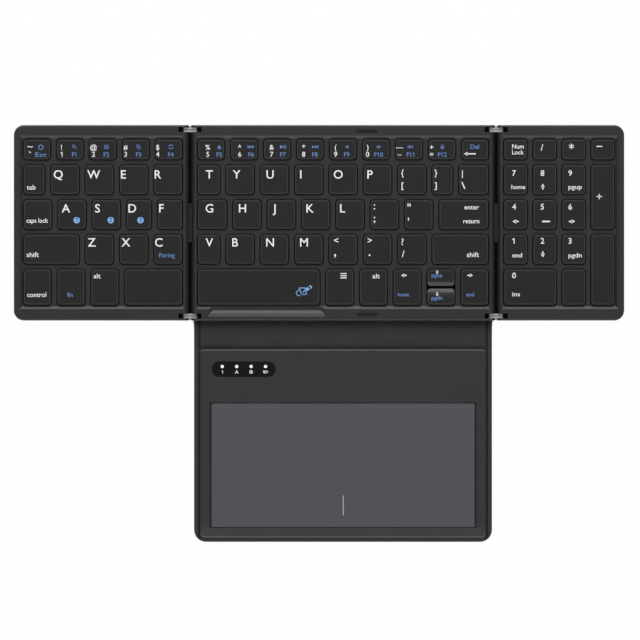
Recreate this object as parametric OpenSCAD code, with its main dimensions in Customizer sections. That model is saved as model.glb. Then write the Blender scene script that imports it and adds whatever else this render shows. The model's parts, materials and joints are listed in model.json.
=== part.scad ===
// Folding keyboard in three panels, with a touchpad on its leatherette cover.
// It lies open and flat. The centre of the middle panel's footprint is at X = 0, Y = 0,
// the cover's underside is at Z = 0, the user sits towards -Y, and +X is to the right.

/* [Panels] */
// Depth of all three panels, from front to back
panel_depth = 108.4; // [104:0.2:124]
// Thickness of a panel
panel_t = 5.4; // [5.2:0.1:6.2]
// Width of the centre panel between its two hinge edges
centre_w = 169.4; // [164:0.2:186]
// Width of the left wing, from its hinge edge to its outer end
left_w = 97.5; // [92:0.1:104]
// Space left between the ends of the two wings when they lie folded
meet_gap = 1.1; // [0.6:0.1:3]
// Radius of the outer corners, seen from above
corner_r = 5.6; // [3:0.1:7]
// Radius of the small corners beside the hinges, seen from above
hinge_corner_r = 1.4; // [1:0.1:2]
// Rounding of the panels' outer edges
edge_r = 0.8; // [0.3:0.1:0.9]
// Gap between two folded panels, and across each hinge line when flat
fold_gap = 0.4; // [0.3:0.1:0.8]

/* [Cases] */
// Thickness of the bottom case's floor
floor_t = 0.8; // [0.5:0.1:0.9]
// Height at which the top case meets the bottom case
case_split = 1.2; // [1:0.05:1.3]
// Thickness of the outer walls
wall_t = 1.2; // [0.8:0.1:2]
// Thickness of the web between the keys
web_t = 0.8; // [0.5:0.1:0.9]
// Width of the sloped edge round the key field
well_slope = 1.6; // [0.8:0.1:2]
// Length of the thumb scoop in front of the space bar
scoop_w = 59; // [40:1:64]
// Depth of the thumb scoop, from the key field towards the user
scoop_d = 5.8; // [4:0.1:6]
// Depth of the level floor in the scoop
scoop_floor_d = 2.3; // [1.5:0.1:2.4]
// Depth of the steep slope in front of that floor
scoop_rise_d = 1.6; // [1:0.1:1.6]
// Height of the gentle slope at the scoop's front
scoop_lip_h = 0.45; // [0.2:0.05:0.6]

/* [Keys] */
// Width of a letter key's cap
letter_w = 15.95; // [15:0.05:16.4]
// Width of the modifier and arrow caps in the front row
modifier_w = 15.6; // [14:0.1:16.4]
// Width of the narrow caps at the centre panel's left edge
narrow_w = 12.6; // [11:0.1:14]
// Width of the closing bracket's cap
bracket_w = 11.7; // [10.5:0.1:13]
// Width of the cap that starts the centre panel's home row
home_start_w = 16.4; // [15:0.1:17.5]
// Depth of the number row's caps
number_d = 11.3; // [10:0.05:13]
// Depth of the caps in the three letter rows
letter_d = 16.5; // [15:0.05:17]
// Gap between two caps in a row
key_gap = 3.1; // [2.6:0.05:3.4]
// Width below which a cap that fills its row doesn't go
least_key_w = 11; // [9:0.1:12]
// Gap between two caps in the number pad's rows
pad_key_gap = 2.8; // [2.4:0.05:3.4]
// Gap between two rows of caps
row_gap = 2.8; // [2.3:0.05:3.2]
// Gap between the two half-height arrow caps
half_gap = 0.9; // [0.6:0.1:1.6]
// Depth of the slopes with which those two caps face each other
facing_d = 2.5; // [1:0.1:3]
// Height of those slopes
facing_h = 0.8; // [0.2:0.05:0.8]
// Corner radius of a cap, seen from above
key_r = 2.1; // [1.6:0.1:2.6]
// Bevel round a cap's top
key_bevel = 0.55; // [0.2:0.05:0.7]
// Height of a cap with its skirt
cap_h = 2; // [1.8:0.05:2.1]
// Thickness of a cap's walls
cap_wall = 1; // [0.8:0.05:1.2]
// Thickness of a cap's top
cap_skin = 0.8; // [0.6:0.05:1]
// Depth of the caps' tops below the bezel
cap_drop = 0.3; // [0.1:0.05:0.4]
// Height by which the caps stand out of the web
key_stand = 1; // [0.8:0.05:1.1]
// Gap between a cap and its hole in the web
key_clear = 0.3; // [0.2:0.05:0.4]

/* [Margins of the key field] */
// From a hinge edge to the nearest cap
hinge_margin = 3.95; // [3.6:0.05:4.4]
// From a wing's outer end to the nearest cap
outer_margin = 5.25; // [4:0.05:6]
// From the rear edge to the number row
back_margin = 7.95; // [7.4:0.05:9]
// From the front edge to the front row
front_margin = 8.5; // [7.6:0.05:9.5]

/* [Under the keys] */
// Thickness of the metal plate that carries the keys
key_plate_t = 0.4; // [0.3:0.05:0.5]
// Thickness of the switch membrane
membrane_t = 0.2; // [0.1:0.05:0.3]
// Radius of a rubber dome at its foot
dome_foot_r = 2.6; // [2:0.1:3.2]
// Radius of a rubber dome at its top
dome_top_r = 1.5; // [1.2:0.1:1.8]
// Radius of the plunger under a cap
plunger_r = 1.3; // [1:0.1:1.6]

/* [Hinges] */
// Distance of each link's middle from the panels' front or rear edge
hinge_inset = 2.5; // [2.3:0.05:2.8]
// Thickness of one link plate
link_plate_t = 1.15; // [0.9:0.05:1.2]
// Gap between the two plates of a link
link_plate_gap = 0.35; // [0.2:0.05:0.4]
// Radius of a link's round ends
link_end_r = 1.35; // [1.1:0.05:1.4]
// Radius of a hinge pin
pin_r = 0.6; // [0.5:0.05:0.8]
// Radial play of a pin in its hole
pin_play = 0.04; // [0.02:0.01:0.08]
// Gap between a link and the side of its slot
link_clear = 0.15; // [0.1:0.05:0.2]
// Length of a link's slot, from the hinge edge into the panel
slot_len = 6.2; // [5.6:0.1:7]
// Width of the flat cable that crosses a hinge
flex_w = 19; // [12:0.5:24]
// Thickness of that cable
flex_t = 0.2; // [0.1:0.05:0.4]
// Length by which it reaches past the hinge line on each side
flex_reach = 7; // [5:0.1:8]
// Length of the sleeve over the cable
sleeve_len = 21.4; // [14:0.2:26]

/* [Cover] */
// Width of the leatherette cover
cover_w = 165.6; // [162:0.2:168]
// Thickness of the leatherette
cover_t = 0.9; // [0.6:0.1:1.2]
// Radius of the cover's two free corners
cover_corner_r = 6.7; // [4:0.1:9]
// Width of the leatherette beyond the touchpad's far edge
cover_lip = 2.55; // [1.5:0.05:4]
// Distance of the cover's rear edge from the panel's rear edge
cover_inset = 0.3; // [0.2:0.1:2]
// Distance of the first fold from the centre panel, and of the second from the touchpad
fold_clear = 0.3; // [0.2:0.05:0.6]
// Gap between two parts of the cover at a fold
crease_gap = 0.3; // [0.2:0.05:0.4]
// Space over the folded wings when the cover is shut
close_clear = 0.3; // [0.2:0.05:0.8]

/* [Touchpad] */
// Width of the touchpad's housing
pad_w = 158.7; // [154:0.1:162]
// Length of the touchpad's housing, away from the keyboard
pad_len = 104.5; // [102:0.1:108]
// Thickness of the touchpad's housing
pad_t = 3; // [2.9:0.05:3.4]
// Radius of the housing's corners
pad_corner_r = 2.8; // [2:0.1:5]
// Rounding of the housing's edges
pad_edge_r = 0.7; // [0.3:0.05:0.8]
// Thickness of the housing's top
pad_skin = 0.9; // [0.8:0.05:1]
// Width of the touch surface
touch_w = 147.2; // [140:0.1:148]
// Depth of the touch surface
touch_d = 68.8; // [64:0.1:70]
// Distance of the touch surface from the housing's front edge
touch_front = 5.75; // [5:0.05:7]
// Thickness of the touch surface
touch_t = 0.9; // [0.7:0.05:1]
// Depth of the shallow slopes at the touch surface's front and rear edges
touch_slope_d = 2.6; // [1:0.1:4]
// Height of those slopes
touch_slope_h = 0.2; // [0.1:0.05:0.4]
// Depth of the touch surface below the housing's top
touch_drop = 0.15; // [0.1:0.05:0.3]
// Gap round the touch surface
touch_gap = 0.35; // [0.3:0.05:0.6]
// Thickness of the touch sensor board
touch_board_t = 0.6; // [0.4:0.1:0.7]
// Travel of the touch surface's front edge when clicked
click_travel = 0.3; // [0.2:0.05:0.35]
// Radius of the bead that the touch surface turns on
bead_r = 0.45; // [0.35:0.05:0.5]
// Thickness of the housing's base plate
base_t = 0.5; // [0.4:0.05:0.6]

/* [Indicator lights] */
// Length of the dark window over the lights
window_w = 35.4; // [32:0.1:40]
// Height of that window
window_d = 8.5; // [7:0.1:10]
// Distance of the window's middle to the left of the touchpad's middle
window_x = 55.1; // [50:0.1:58]
// Distance of the window's middle from the housing's edge at the keyboard
window_y = 11; // [8:0.1:14]
// Thickness of the window
window_t = 0.5; // [0.4:0.05:0.55]
// Distance from one light to the next
light_pitch = 8; // [7:0.1:8.5]
// Distance of the lights behind the window's middle
light_y = 1.5; // [0:0.1:2]
// Radius of a light
light_r = 0.9; // [0.6:0.1:1]

/* [Small pieces] */
// Length of a rubber bumper
bumper_w = 11.8; // [8:0.1:14]
// Width of a rubber bumper
bumper_d = 1.7; // [1.2:0.1:2.2]
// Distance of a bumper's middle from the front or rear edge
bumper_inset = 3.4; // [2.8:0.1:3.8]
// Height by which a bumper stands proud of the bezel
bumper_stand = 0.15; // [0.05:0.05:0.25]
// Radius of a wing's rubber foot
foot_r = 4; // [2.5:0.1:5]
// Distance of a foot's middle from the wing's edges
foot_inset = 10; // [8:0.5:16]
// Gap between the cover's side and the wings' inner feet
foot_gap = 8.3; // [5:0.1:14]
// Distance of the charging socket to the right of the centre
socket_x = 62; // [50:0.5:68]
// Width of the charging socket
socket_w = 8.9; // [8.6:0.05:9]
// Height of the charging socket
socket_h = 3.16; // [3:0.02:3.2]
// Depth of the charging socket
socket_d = 6.4; // [5.5:0.1:6.5]
// Length of the main board beside the socket
board_w = 34; // [20:0.5:44]
// Width of the battery
battery_w = 62; // [40:0.5:70]
// Depth of the battery
battery_d = 24; // [16:0.5:26]
// Distance of the battery from the housing's right side
battery_side = 21.9; // [4:0.1:30]

/* [Hidden] */
$fn = 48;

case_colour = "#3d3d3d";
key_colour = "#2c2c2c";
leather_colour = "#363636";
metal_colour = "#b9b9bb";
rubber_colour = "#1b1b1b";

// Heights inside a panel, from its underside
cap_top_z = panel_t - cap_drop;
cap_bottom_z = cap_top_z - cap_h;
web_top_z = cap_top_z - key_stand;
web_bottom_z = web_top_z - web_t;
membrane_z = case_split + key_plate_t;
membrane_top_z = membrane_z + membrane_t;
plunger_lift = 0.35;
plunger_z = cap_bottom_z + plunger_lift;
dome_clear = 0.05;
dome_wall = 0.4;

// A length in whole hundredths of a millimetre
function hundredths(x) = round(x * 100) / 100;

// The panels' places
half_depth = panel_depth / 2;
centre_edge = centre_w / 2;
wing_edge = centre_edge + fold_gap;
right_w = centre_w - left_w - meet_gap;
left_end = -wing_edge - left_w;
right_end = wing_edge + right_w;
overcut = 1;

// The hinges: a pin stands half a thickness inside each panel's round edge
pin_z = panel_t / 2;
pin_inset = panel_t / 2;
pivot_spacing = panel_t + fold_gap;
hinge_y = half_depth - hinge_inset;
link_w = 2 * link_plate_t + link_plate_gap;
slot_w = link_w + 2 * link_clear;
pin_in = 1.6;
pin_out = 0.5;
pin_len = slot_w + pin_in + pin_out;
flex_slit_h = 0.8;
sleeve_low = 0.9;
sleeve_high = 2.4;
sleeve_clear = 0.25;

// The key field
row_d = [
    number_d, letter_d, letter_d, letter_d,
    panel_depth - back_margin - front_margin - number_d - 3 * letter_d - 4 * row_gap
];
left_x = left_end + outer_margin;
left_field = left_w - outer_margin - hinge_margin;
centre_x = -centre_edge + hinge_margin;
centre_field = centre_w - 2 * hinge_margin;
right_x = wing_edge + hinge_margin;
right_field = right_w - outer_margin - hinge_margin;
pad_key_w = hundredths((right_field - 3 * pad_key_gap) / 4);
well_lip = 0.2;
well_back = half_depth - back_margin + key_clear + well_lip;
well_front = -half_depth + front_margin - key_clear - well_lip;
hinge_rim = hinge_margin - key_clear - well_lip;
outer_rim = outer_margin - key_clear - well_lip;
cavity_back = well_back + key_clear;
cavity_front = well_front - key_clear;
plate_clear = 0.4;
plate_notch_r = 2;

// The cover's two folds, and the length that the spine needs to close over the folded wings
first_fold = -half_depth - fold_clear;
spine_len = 2 * panel_t + fold_gap + cover_t + close_clear + pad_t;
second_fold = first_fold - spine_len;
pad_back = second_fold - fold_clear;
pad_front = pad_back - pad_len;
cover_front = pad_front - cover_lip;

// Heights inside the touchpad's housing, from the floor
pad_top_z = cover_t + pad_t;
pad_roof_z = pad_top_z - pad_skin;
touch_top_z = pad_top_z - touch_drop;
touch_low_z = touch_top_z - touch_t;
touch_board_z = touch_low_z - touch_board_t;
pad_floor_z = cover_t + base_t;
pad_play = 0.2;
touch_front_y = pad_front + touch_front;
touch_back_y = touch_front_y + touch_d;
bead_y = touch_back_y + touch_gap + bead_r;
bead_z = pad_roof_z - bead_r - 0.05;
switch_r = 2.5;
switch_in = 8;
bead_in = 6;
bead_strip = 3;
touch_board_side = 2;
touch_board_back = 4;
window_play = 0.05;
light_board_t = 0.8;
light_board_d = 4;
light_board_end = 3;

// The charging socket and main board, in the centre panel's rear bezel
socket_z = case_split + socket_h / 2 + 0.3;
socket_mouth = half_depth - 0.1;
socket_play = 0.06;
socket_shell = 0.3;
socket_back_t = 0.8;
tongue_side = 1.1;
tongue_t = 0.7;
tongue_back = 0.4;
tongue_in = 1.2;
main_board_t = 0.8;
board_play = 0.3;
chip_w = 5;
chip_d = 2.4;
chip_h = 1;
chip_pitch = 10;
rear_room_front = well_back + well_slope + 0.1;
rear_room_h = 3.2;

// Sum of the first n values of a list
function total(list, n, i = 0) = i >= n ? 0 : list[i] + total(list, n, i + 1);

// Points of an arc, from one angle to another
function arc(x, y, r, from, to, steps) =
    r == 0 ? [[x, y]] : [
        for (i = [0:steps])
            let (a = from + (to - from) * i / steps)
            [x + r * cos(a), y + r * sin(a)]
    ];

// Section of a slab from u0 to u1 and from 0 to h, its low and high edges rounded
function slab_section(u0, u1, h, low, high, steps) = concat(
    arc(u0 + low, low, low, 180, 270, steps), arc(u1 - low, low, low, 270, 360, steps),
    arc(u1 - high, h - high, high, 0, 90, steps), arc(u0 + high, h - high, high, 90, 180, steps)
);

// Half of that section, from its middle out to r
function puck_section(r, h, low, high, steps) = concat(
    [[0, 0]], arc(r - low, low, low, 270, 360, steps), arc(r - high, h - high, high, 0, 90, steps), [[0, h]]
);

// Rear edge of a row of caps
function row_back(row) = half_depth - back_margin - total(row_d, row) - row * row_gap;

// Widths of a row's caps, which fill the field. A width of 0 takes an equal share of what the others leave.
// In a field too narrow for that, all the caps are narrowed alike
function filled(widths, field) =
    let (
        fixed = total(widths, len(widths)),
        shares = len([for (w = widths) if (w == 0) w]),
        room = field - (len(widths) - 1) * key_gap,
        least = fixed + shares * least_key_w,
        share = max((room - fixed) / shares, least_key_w),
        scale_down = min(room / least, 1)
    )
    [for (w = widths) hundredths((w == 0 ? share : w) * scale_down)];

// The caps of one row, each as its middle, width and depth
function key_row(widths, x, field, row) =
    let (w = filled(widths, field))
    [
        for (i = [0:len(w) - 1])
            [x + total(w, i) + i * key_gap + w[i] / 2, row_back(row) - row_d[row] / 2, w[i], row_d[row]]
    ];

// A cap of the number pad that spans some columns and rows
function pad_key(col, last_col, row, last_row) =
    let (
        x0 = right_x + col * (pad_key_w + pad_key_gap),
        x1 = right_x + last_col * (pad_key_w + pad_key_gap) + pad_key_w,
        y1 = row_back(row),
        y0 = row_back(last_row) - row_d[last_row]
    )
    [(x0 + x1) / 2, (y0 + y1) / 2, x1 - x0, y1 - y0];

// The front or rear half of a cap's place
function half_key(k, side) =
    [k[0], k[1] + side * (k[3] + half_gap) / 4, k[2], (k[3] - half_gap) / 2];

// The rib that stiffens the web, just clear of the membrane
web_rib_y = row_back(3) + row_gap / 2;
web_rib_z = membrane_top_z + 0.2;

// Some of a row's caps, from one to another
function picked(row, first, last) = [for (i = [first:last]) row[i]];

six_letters = [for (i = [1:6]) letter_w];
left_rows = [
    key_row([0, 0, 0, 0, 0], left_x, left_field, 0),
    key_row([0, letter_w, letter_w, letter_w, letter_w], left_x, left_field, 1),
    key_row([letter_w, letter_w, letter_w, 0, 0], left_x, left_field, 2),
    key_row([0, letter_w, letter_w, letter_w], left_x, left_field, 3),
    key_row([modifier_w, modifier_w, modifier_w, 0], left_x, left_field, 4)
];
centre_rows = [
    key_row([for (i = [1:9]) 0], centre_x, centre_field, 0),
    key_row(concat([narrow_w], six_letters, [bracket_w, 0]), centre_x, centre_field, 1),
    key_row(concat([home_start_w], six_letters, [0]), centre_x, centre_field, 2),
    key_row(concat([narrow_w], six_letters, [0]), centre_x, centre_field, 3),
    key_row(concat([0], [for (i = [1:5]) modifier_w]), centre_x, centre_field, 4)
];
space_bar = centre_rows[4][0];
arrow_column = centre_rows[4][4];
right_rows = [
    [for (c = [0:3]) pad_key(c, c, 0, 0)],
    [for (c = [0:2]) pad_key(c, c, 1, 1)],
    [for (c = [0:2]) pad_key(c, c, 2, 2)],
    [for (c = [0:2]) pad_key(c, c, 3, 3)],
    [pad_key(0, 1, 4, 4), pad_key(2, 2, 4, 4)],
    [pad_key(3, 3, 1, 2)],
    [pad_key(3, 3, 3, 4)]
];

function joined(rows) = [for (r = rows) for (k = r) k];

// The caps themselves, with the arrow column cut in two
function caps_of(rows) =
    [for (k = joined(rows)) if (k != arrow_column) k, for (k = joined(rows)) if (k == arrow_column)
        for (side = [1, -1]) half_key(k, side)];

// A slab with rounded corners and edges, built of corner pucks and the bars between them
module rounded_slab(x0, x1, y0, y1, h, r_left, r_right, low, high, steps = 3) {
    for (end = [[x0 + r_left, r_left], [x1 - r_right, r_right]])
        for (y = [y0 + end[1], y1 - end[1]])
            translate([end[0], y, 0])
                rotate_extrude()
                    polygon(puck_section(end[1], h, low, high, steps));
    translate([x0 + r_left, 0, 0])
        rotate([90, 0, 90])
            linear_extrude(x1 - r_right - x0 - r_left)
                polygon(slab_section(y0, y1, h, low, high, steps));
    for (end = [[x0, x0 + 2 * r_left, r_left], [x1 - 2 * r_right, x1, r_right]])
        translate([0, y1 - end[2], 0])
            rotate([90, 0, 0])
                linear_extrude(y1 - y0 - 2 * end[2])
                    polygon(slab_section(end[0], end[1], h, low, high, steps));
}

// A rectangle with round corners, seen from above
module rounded_plan(w, d, r) {
    square([w - 2 * r, d], center = true);
    square([w, d - 2 * r], center = true);
    for (x = [-1, 1], y = [-1, 1])
        translate([x * (w / 2 - r), y * (d / 2 - r)])
            circle(r);
}

// A bar with half-round ends, seen from above
module capsule_plan(w, d) {
    square([w - d, d], center = true);
    for (x = [-1, 1])
        translate([x * (w - d) / 2, 0])
            circle(d / 2);
}

module box(x0, x1, y0, y1, z0, z1) {
    translate([x0, y0, z0])
        cube([x1 - x0, y1 - y0, z1 - z0]);
}

// A panel's whole outer shape, its hinge edges half round about their pins
module panel_blank(x0, x1, hinge_left, hinge_right) {
    intersection() {
        rounded_slab(
            x0, x1, -half_depth, half_depth, panel_t,
            hinge_left ? hinge_corner_r : corner_r, hinge_right ? hinge_corner_r : corner_r, edge_r, edge_r
        );
        rotate([90, 0, 0])
            linear_extrude(panel_depth + 2 * overcut, center = true)
                hinge_profile(x0, x1, hinge_left, hinge_right);
    }
}

module hinge_profile(x0, x1, hinge_left, hinge_right) {
    from = hinge_left ? x0 + pin_inset : x0 - overcut;
    to = hinge_right ? x1 - pin_inset : x1 + overcut;
    translate([from, 0])
        square([to - from, panel_t]);
    for (x = concat(hinge_left ? [from] : [], hinge_right ? [to] : []))
        translate([x, pin_z])
            circle(panel_t / 2);
}

// A pocket that widens towards the top: its floor is at z0, each side slopes out by its own amount
module sloped_pocket(x0, x1, y0, y1, z0, z1, slope_left, slope_right, slope_front, slope_back) {
    intersection() {
        translate([0, y1 + slope_back + overcut, 0])
            rotate([90, 0, 0])
                linear_extrude(y1 - y0 + slope_back + slope_front + 2 * overcut)
                    polygon(wedge(x0, x1, z0, z1, slope_left, slope_right));
        translate([x0 - slope_left - overcut, 0, 0])
            rotate([90, 0, 90])
                linear_extrude(x1 - x0 + slope_left + slope_right + 2 * overcut)
                    polygon(wedge(y0, y1, z0, z1, slope_front, slope_back));
    }
}

function wedge(u0, u1, z0, z1, out0, out1) = [
    [u0, z0], [u1, z0], [u1 + out1, z1], [u1 + out1, z1 + overcut], [u0 - out0, z1 + overcut], [u0 - out0, z1]
];

// The holes for a panel's caps, through the web
module key_holes(rows) {
    translate([0, 0, web_bottom_z - overcut])
        linear_extrude(web_t + 2 * overcut)
            for (k = joined(rows))
                translate([k[0], k[1]])
                    rounded_plan(k[2] + 2 * key_clear, k[3] + 2 * key_clear, key_r + key_clear);
}

// The slots and pin holes of the links at one hinge edge; dir points from the edge into the panel
module link_slots(edge, dir) {
    for (side = [-1, 1]) {
        translate([edge + dir * (slot_len - overcut) / 2, side * hinge_y, case_split + panel_t / 2])
            cube([slot_len + overcut, slot_w, panel_t], center = true);
        hinge_pin(edge, dir, side, pin_r + pin_play, pin_play);
    }
}

// One hinge pin, or its hole
module hinge_pin(edge, dir, side, r, extra) {
    from = hinge_y - slot_w / 2 - pin_in - extra;
    translate([edge + dir * pin_inset, side * from, pin_z])
        rotate([-side * 90, 0, 0])
            cylinder(r = r, h = pin_len + 2 * extra);
}

// The slit through which the flat cable enters a panel
module flex_slit(edge, dir) {
    translate([edge + dir * flex_reach / 2, 0, pin_z])
        cube([flex_reach + overcut, flex_w + 1, flex_slit_h], center = true);
}

// One panel's top case, with a rib under its web behind the lower letter row.
// Hinge edges are given as [place, direction into the panel].
module top_case(x0, x1, hinges, rows) {
    hinge_left = len([for (h = hinges) if (h[1] > 0) h]) > 0;
    hinge_right = len([for (h = hinges) if (h[1] < 0) h]) > 0;
    in_left = hinge_left ? hinge_rim : outer_rim;
    in_right = hinge_right ? hinge_rim : outer_rim;
    from = x0 + (hinge_left ? in_left - key_clear : wall_t);
    to = x1 - (hinge_right ? in_right - key_clear : wall_t);
    difference() {
        panel_blank(x0, x1, hinge_left, hinge_right);
        box(x0 - overcut, x1 + overcut, -half_depth - overcut, half_depth + overcut, -overcut, case_split);
        for (y = [[cavity_front, web_rib_y - wall_t / 2], [web_rib_y + wall_t / 2, cavity_back]])
            box(from, to, y[0], y[1], case_split - overcut, web_bottom_z);
        box(from, to, cavity_front, cavity_back, case_split - overcut, web_rib_z);
        sloped_pocket(
            x0 + in_left, x1 - in_right, well_front, well_back, web_top_z, panel_t,
            hinge_left ? 0 : well_slope, hinge_right ? 0 : well_slope, well_slope, well_slope
        );
        key_holes(rows);
        for (h = hinges) {
            link_slots(h[0], h[1]);
            flex_slit(h[0], h[1]);
        }
    }
}

// One panel's bottom case: a floor with a rim, and ribs that carry the key plate
module bottom_case(x0, x1, hinge_left, hinge_right, bays) {
    rim_left = hinge_left ? hinge_margin : wall_t;
    rim_right = hinge_right ? hinge_margin : wall_t;
    rib = wall_t;
    bay = (x1 - rim_right - x0 - rim_left - (bays - 1) * rib) / bays;
    difference() {
        panel_blank(x0, x1, hinge_left, hinge_right);
        box(
            x0 - overcut, x1 + overcut, -half_depth - overcut, half_depth + overcut,
            case_split, panel_t + overcut
        );
        for (i = [0:bays - 1])
            let (from = x0 + rim_left + i * (bay + rib))
            for (y = [[cavity_front + rib, -rib / 2], [rib / 2, cavity_back - rib]])
                box(from, from + bay, y[0], y[1], floor_t, case_split + overcut);
    }
}

// The metal plate under a panel's keys, notched over the ribs' ends
module key_plate(x0, x1) {
    inset = plate_clear;
    difference() {
        box(x0 + inset, x1 - inset, cavity_front + inset, cavity_back - inset, case_split, membrane_z);
        for (x = [x0 + inset, x1 - inset], y = [cavity_front + inset, cavity_back - inset])
            translate([x, y, case_split - overcut])
                cylinder(r = plate_notch_r, h = key_plate_t + 2 * overcut);
    }
}

// A panel's membrane with its rubber domes, one under each cap
module membrane(x0, x1, rows) {
    inset = 2 * plate_clear;
    box(x0 + inset, x1 - inset, cavity_front + inset, cavity_back - inset, membrane_z, membrane_top_z);
    dome_h = plunger_z - dome_clear - membrane_top_z;
    for (k = caps_of(rows))
        translate([k[0], k[1], membrane_top_z])
            difference() {
                cylinder(r1 = dome_foot_r, r2 = dome_top_r, h = dome_h);
                translate([0, 0, -overcut])
                    cylinder(r = dome_top_r - dome_wall, h = overcut + dome_h - dome_wall);
            }
}

// One cap, hollow below, with the plunger that presses its dome
module keycap(w, d) {
    roof_z = cap_h - cap_skin;
    difference() {
        rounded_slab(-w / 2, w / 2, -d / 2, d / 2, cap_h, key_r, key_r, 0, key_bevel, 1);
        translate([0, 0, (roof_z - overcut) / 2])
            cube([w - 2 * cap_wall, d - 2 * cap_wall, roof_z + overcut], center = true);
    }
    translate([0, 0, plunger_lift])
        cylinder(r = plunger_r, h = roof_z - plunger_lift);
}

module caps(keys) {
    color(key_colour)
        for (k = keys)
            translate([k[0], k[1], cover_t + cap_bottom_z])
                keycap(k[2], k[3]);
}

// One of the two half-height arrow caps, with the slope that faces the other one
module half_cap(side) {
    k = half_key(arrow_column, side);
    edge = k[1] - side * k[3] / 2;
    top = cover_t + cap_top_z;
    difference() {
        caps([k]);
        translate([k[0], 0, 0])
            rotate([90, 0, 90])
                linear_extrude(k[2] + 2 * overcut, center = true)
                    polygon([
                        [edge + side * facing_d, top], [edge, top - facing_h],
                        [edge - side * overcut, top - facing_h], [edge - side * overcut, top + overcut],
                        [edge + side * facing_d, top + overcut]
                    ]);
    }
}

// Where the cover lies under a panel, everything in the panel starts on the cover
module raised() {
    translate([0, 0, cover_t])
        children();
}

module cover_back() {
    color(leather_colour)
        linear_extrude(cover_t)
            translate([-cover_w / 2, first_fold + crease_gap / 2])
                square([cover_w, half_depth - cover_inset - first_fold - crease_gap / 2]);
}

module cover_spine() {
    color(leather_colour)
        linear_extrude(cover_t)
            translate([-cover_w / 2, second_fold + crease_gap / 2])
                square([cover_w, spine_len - crease_gap]);
}

module cover_flap() {
    len = second_fold - crease_gap / 2 - cover_front;
    color(leather_colour)
        translate([0, cover_front + len / 2, 0])
            linear_extrude(cover_t) {
                rounded_plan(cover_w, len, cover_corner_r);
                translate([-cover_w / 2, 0])
                    square([cover_w, len / 2]);
            }
}

module centre_bottom_case() {
    color(case_colour)
        raised()
            bottom_case(-centre_edge, centre_edge, true, true, 4);
}

// The thumb scoop in front of the space bar: a level floor, a steep slope, and a gentle one up to the bezel
module thumb_scoop() {
    to = space_bar[0] + space_bar[2] / 2;
    from = to - scoop_w;
    run = 2 * well_slope;
    level = well_front - scoop_floor_d;
    intersection() {
        translate([from - run - overcut, 0, 0])
            rotate([90, 0, 90])
                linear_extrude(scoop_w + 2 * (run + overcut))
                    polygon([
                        [well_front + overcut, web_top_z], [level, web_top_z],
                        [level - scoop_rise_d, panel_t - scoop_lip_h],
                        [well_front - scoop_d, panel_t], [well_front - scoop_d, panel_t + overcut],
                        [well_front + overcut, panel_t + overcut]
                    ]);
        rotate([90, 0, 0])
            linear_extrude(panel_depth, center = true)
                polygon(wedge(from, to, web_top_z, panel_t, run, run));
    }
}

module centre_top_case() {
    color(case_colour)
        raised()
            difference() {
                top_case(
                    -centre_edge, centre_edge, [[-centre_edge, 1], [centre_edge, -1]], centre_rows
                );
                thumb_scoop();
                bumpers(0.01);
                socket_room();
            }
}

module centre_key_plate() {
    color(metal_colour)
        raised()
            key_plate(-centre_edge + hinge_margin, centre_edge - hinge_margin);
}

module centre_membrane() {
    color(rubber_colour)
        raised()
            membrane(-centre_edge + hinge_margin, centre_edge - hinge_margin, centre_rows);
}

module hinge_pins(edge, dir) {
    for (side = [-1, 1])
        hinge_pin(edge, dir, side, pin_r, 0);
}

module centre_hinge_pins() {
    color(metal_colour)
        raised()
            for (side = [-1, 1])
                hinge_pins(side * centre_edge, -side);
}

// The two bumpers stand where the folded wings' ends meet
module bumpers(play) {
    bumper_x = centre_edge - right_w - meet_gap / 2;
    bumper_h = 0.8;
    for (side = [-1, 1])
        translate([bumper_x, side * (half_depth - bumper_inset), panel_t - bumper_h])
            linear_extrude(bumper_h + bumper_stand)
                capsule_plan(bumper_w + 2 * play, bumper_d + 2 * play);
}

module fold_bumpers() {
    color(rubber_colour)
        raised()
            bumpers(0);
}

// A capsule standing upright, seen from the rear
module socket_bar(w, h, y, len) {
    translate([socket_x, y, socket_z])
        rotate([90, 0, 0])
            linear_extrude(len)
                capsule_plan(w, h);
}

// The room for the main board, the socket and its mouth
module socket_room() {
    socket_bar(
        socket_w + 2 * socket_play, socket_h + 2 * socket_play, half_depth + overcut, socket_d + overcut + 0.2
    );
    box(
        socket_x - socket_w / 2 - board_w - 2, socket_x, rear_room_front, half_depth - wall_t,
        case_split - overcut, case_split + rear_room_h
    );
}

module charging_socket() {
    tongue_w = socket_w - 2 * tongue_side;
    color(metal_colour)
        raised() {
            difference() {
                socket_bar(socket_w, socket_h, socket_mouth, socket_d);
                socket_bar(
                    socket_w - 2 * socket_shell, socket_h - 2 * socket_shell, socket_mouth + overcut,
                    socket_d + overcut - socket_back_t
                );
            }
            box(
                socket_x - tongue_w / 2, socket_x + tongue_w / 2, socket_mouth - socket_d + tongue_back,
                socket_mouth - tongue_in, socket_z - tongue_t / 2, socket_z + tongue_t / 2
            );
        }
}

module main_board() {
    color("#1f3a26")
        raised() {
            to = socket_x - socket_w / 2 - board_play;
            front = rear_room_front + board_play;
            board_top_z = case_split + main_board_t;
            box(
                to - board_w, to, front, half_depth - wall_t - board_play, case_split, board_top_z
            );
            for (i = [1:3])
                box(
                    to + chip_w / 2 - i * chip_pitch, to + chip_w / 2 - i * chip_pitch + chip_w,
                    front + board_play, front + board_play + chip_d, board_top_z, board_top_z + chip_h
                );
        }
}

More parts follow.
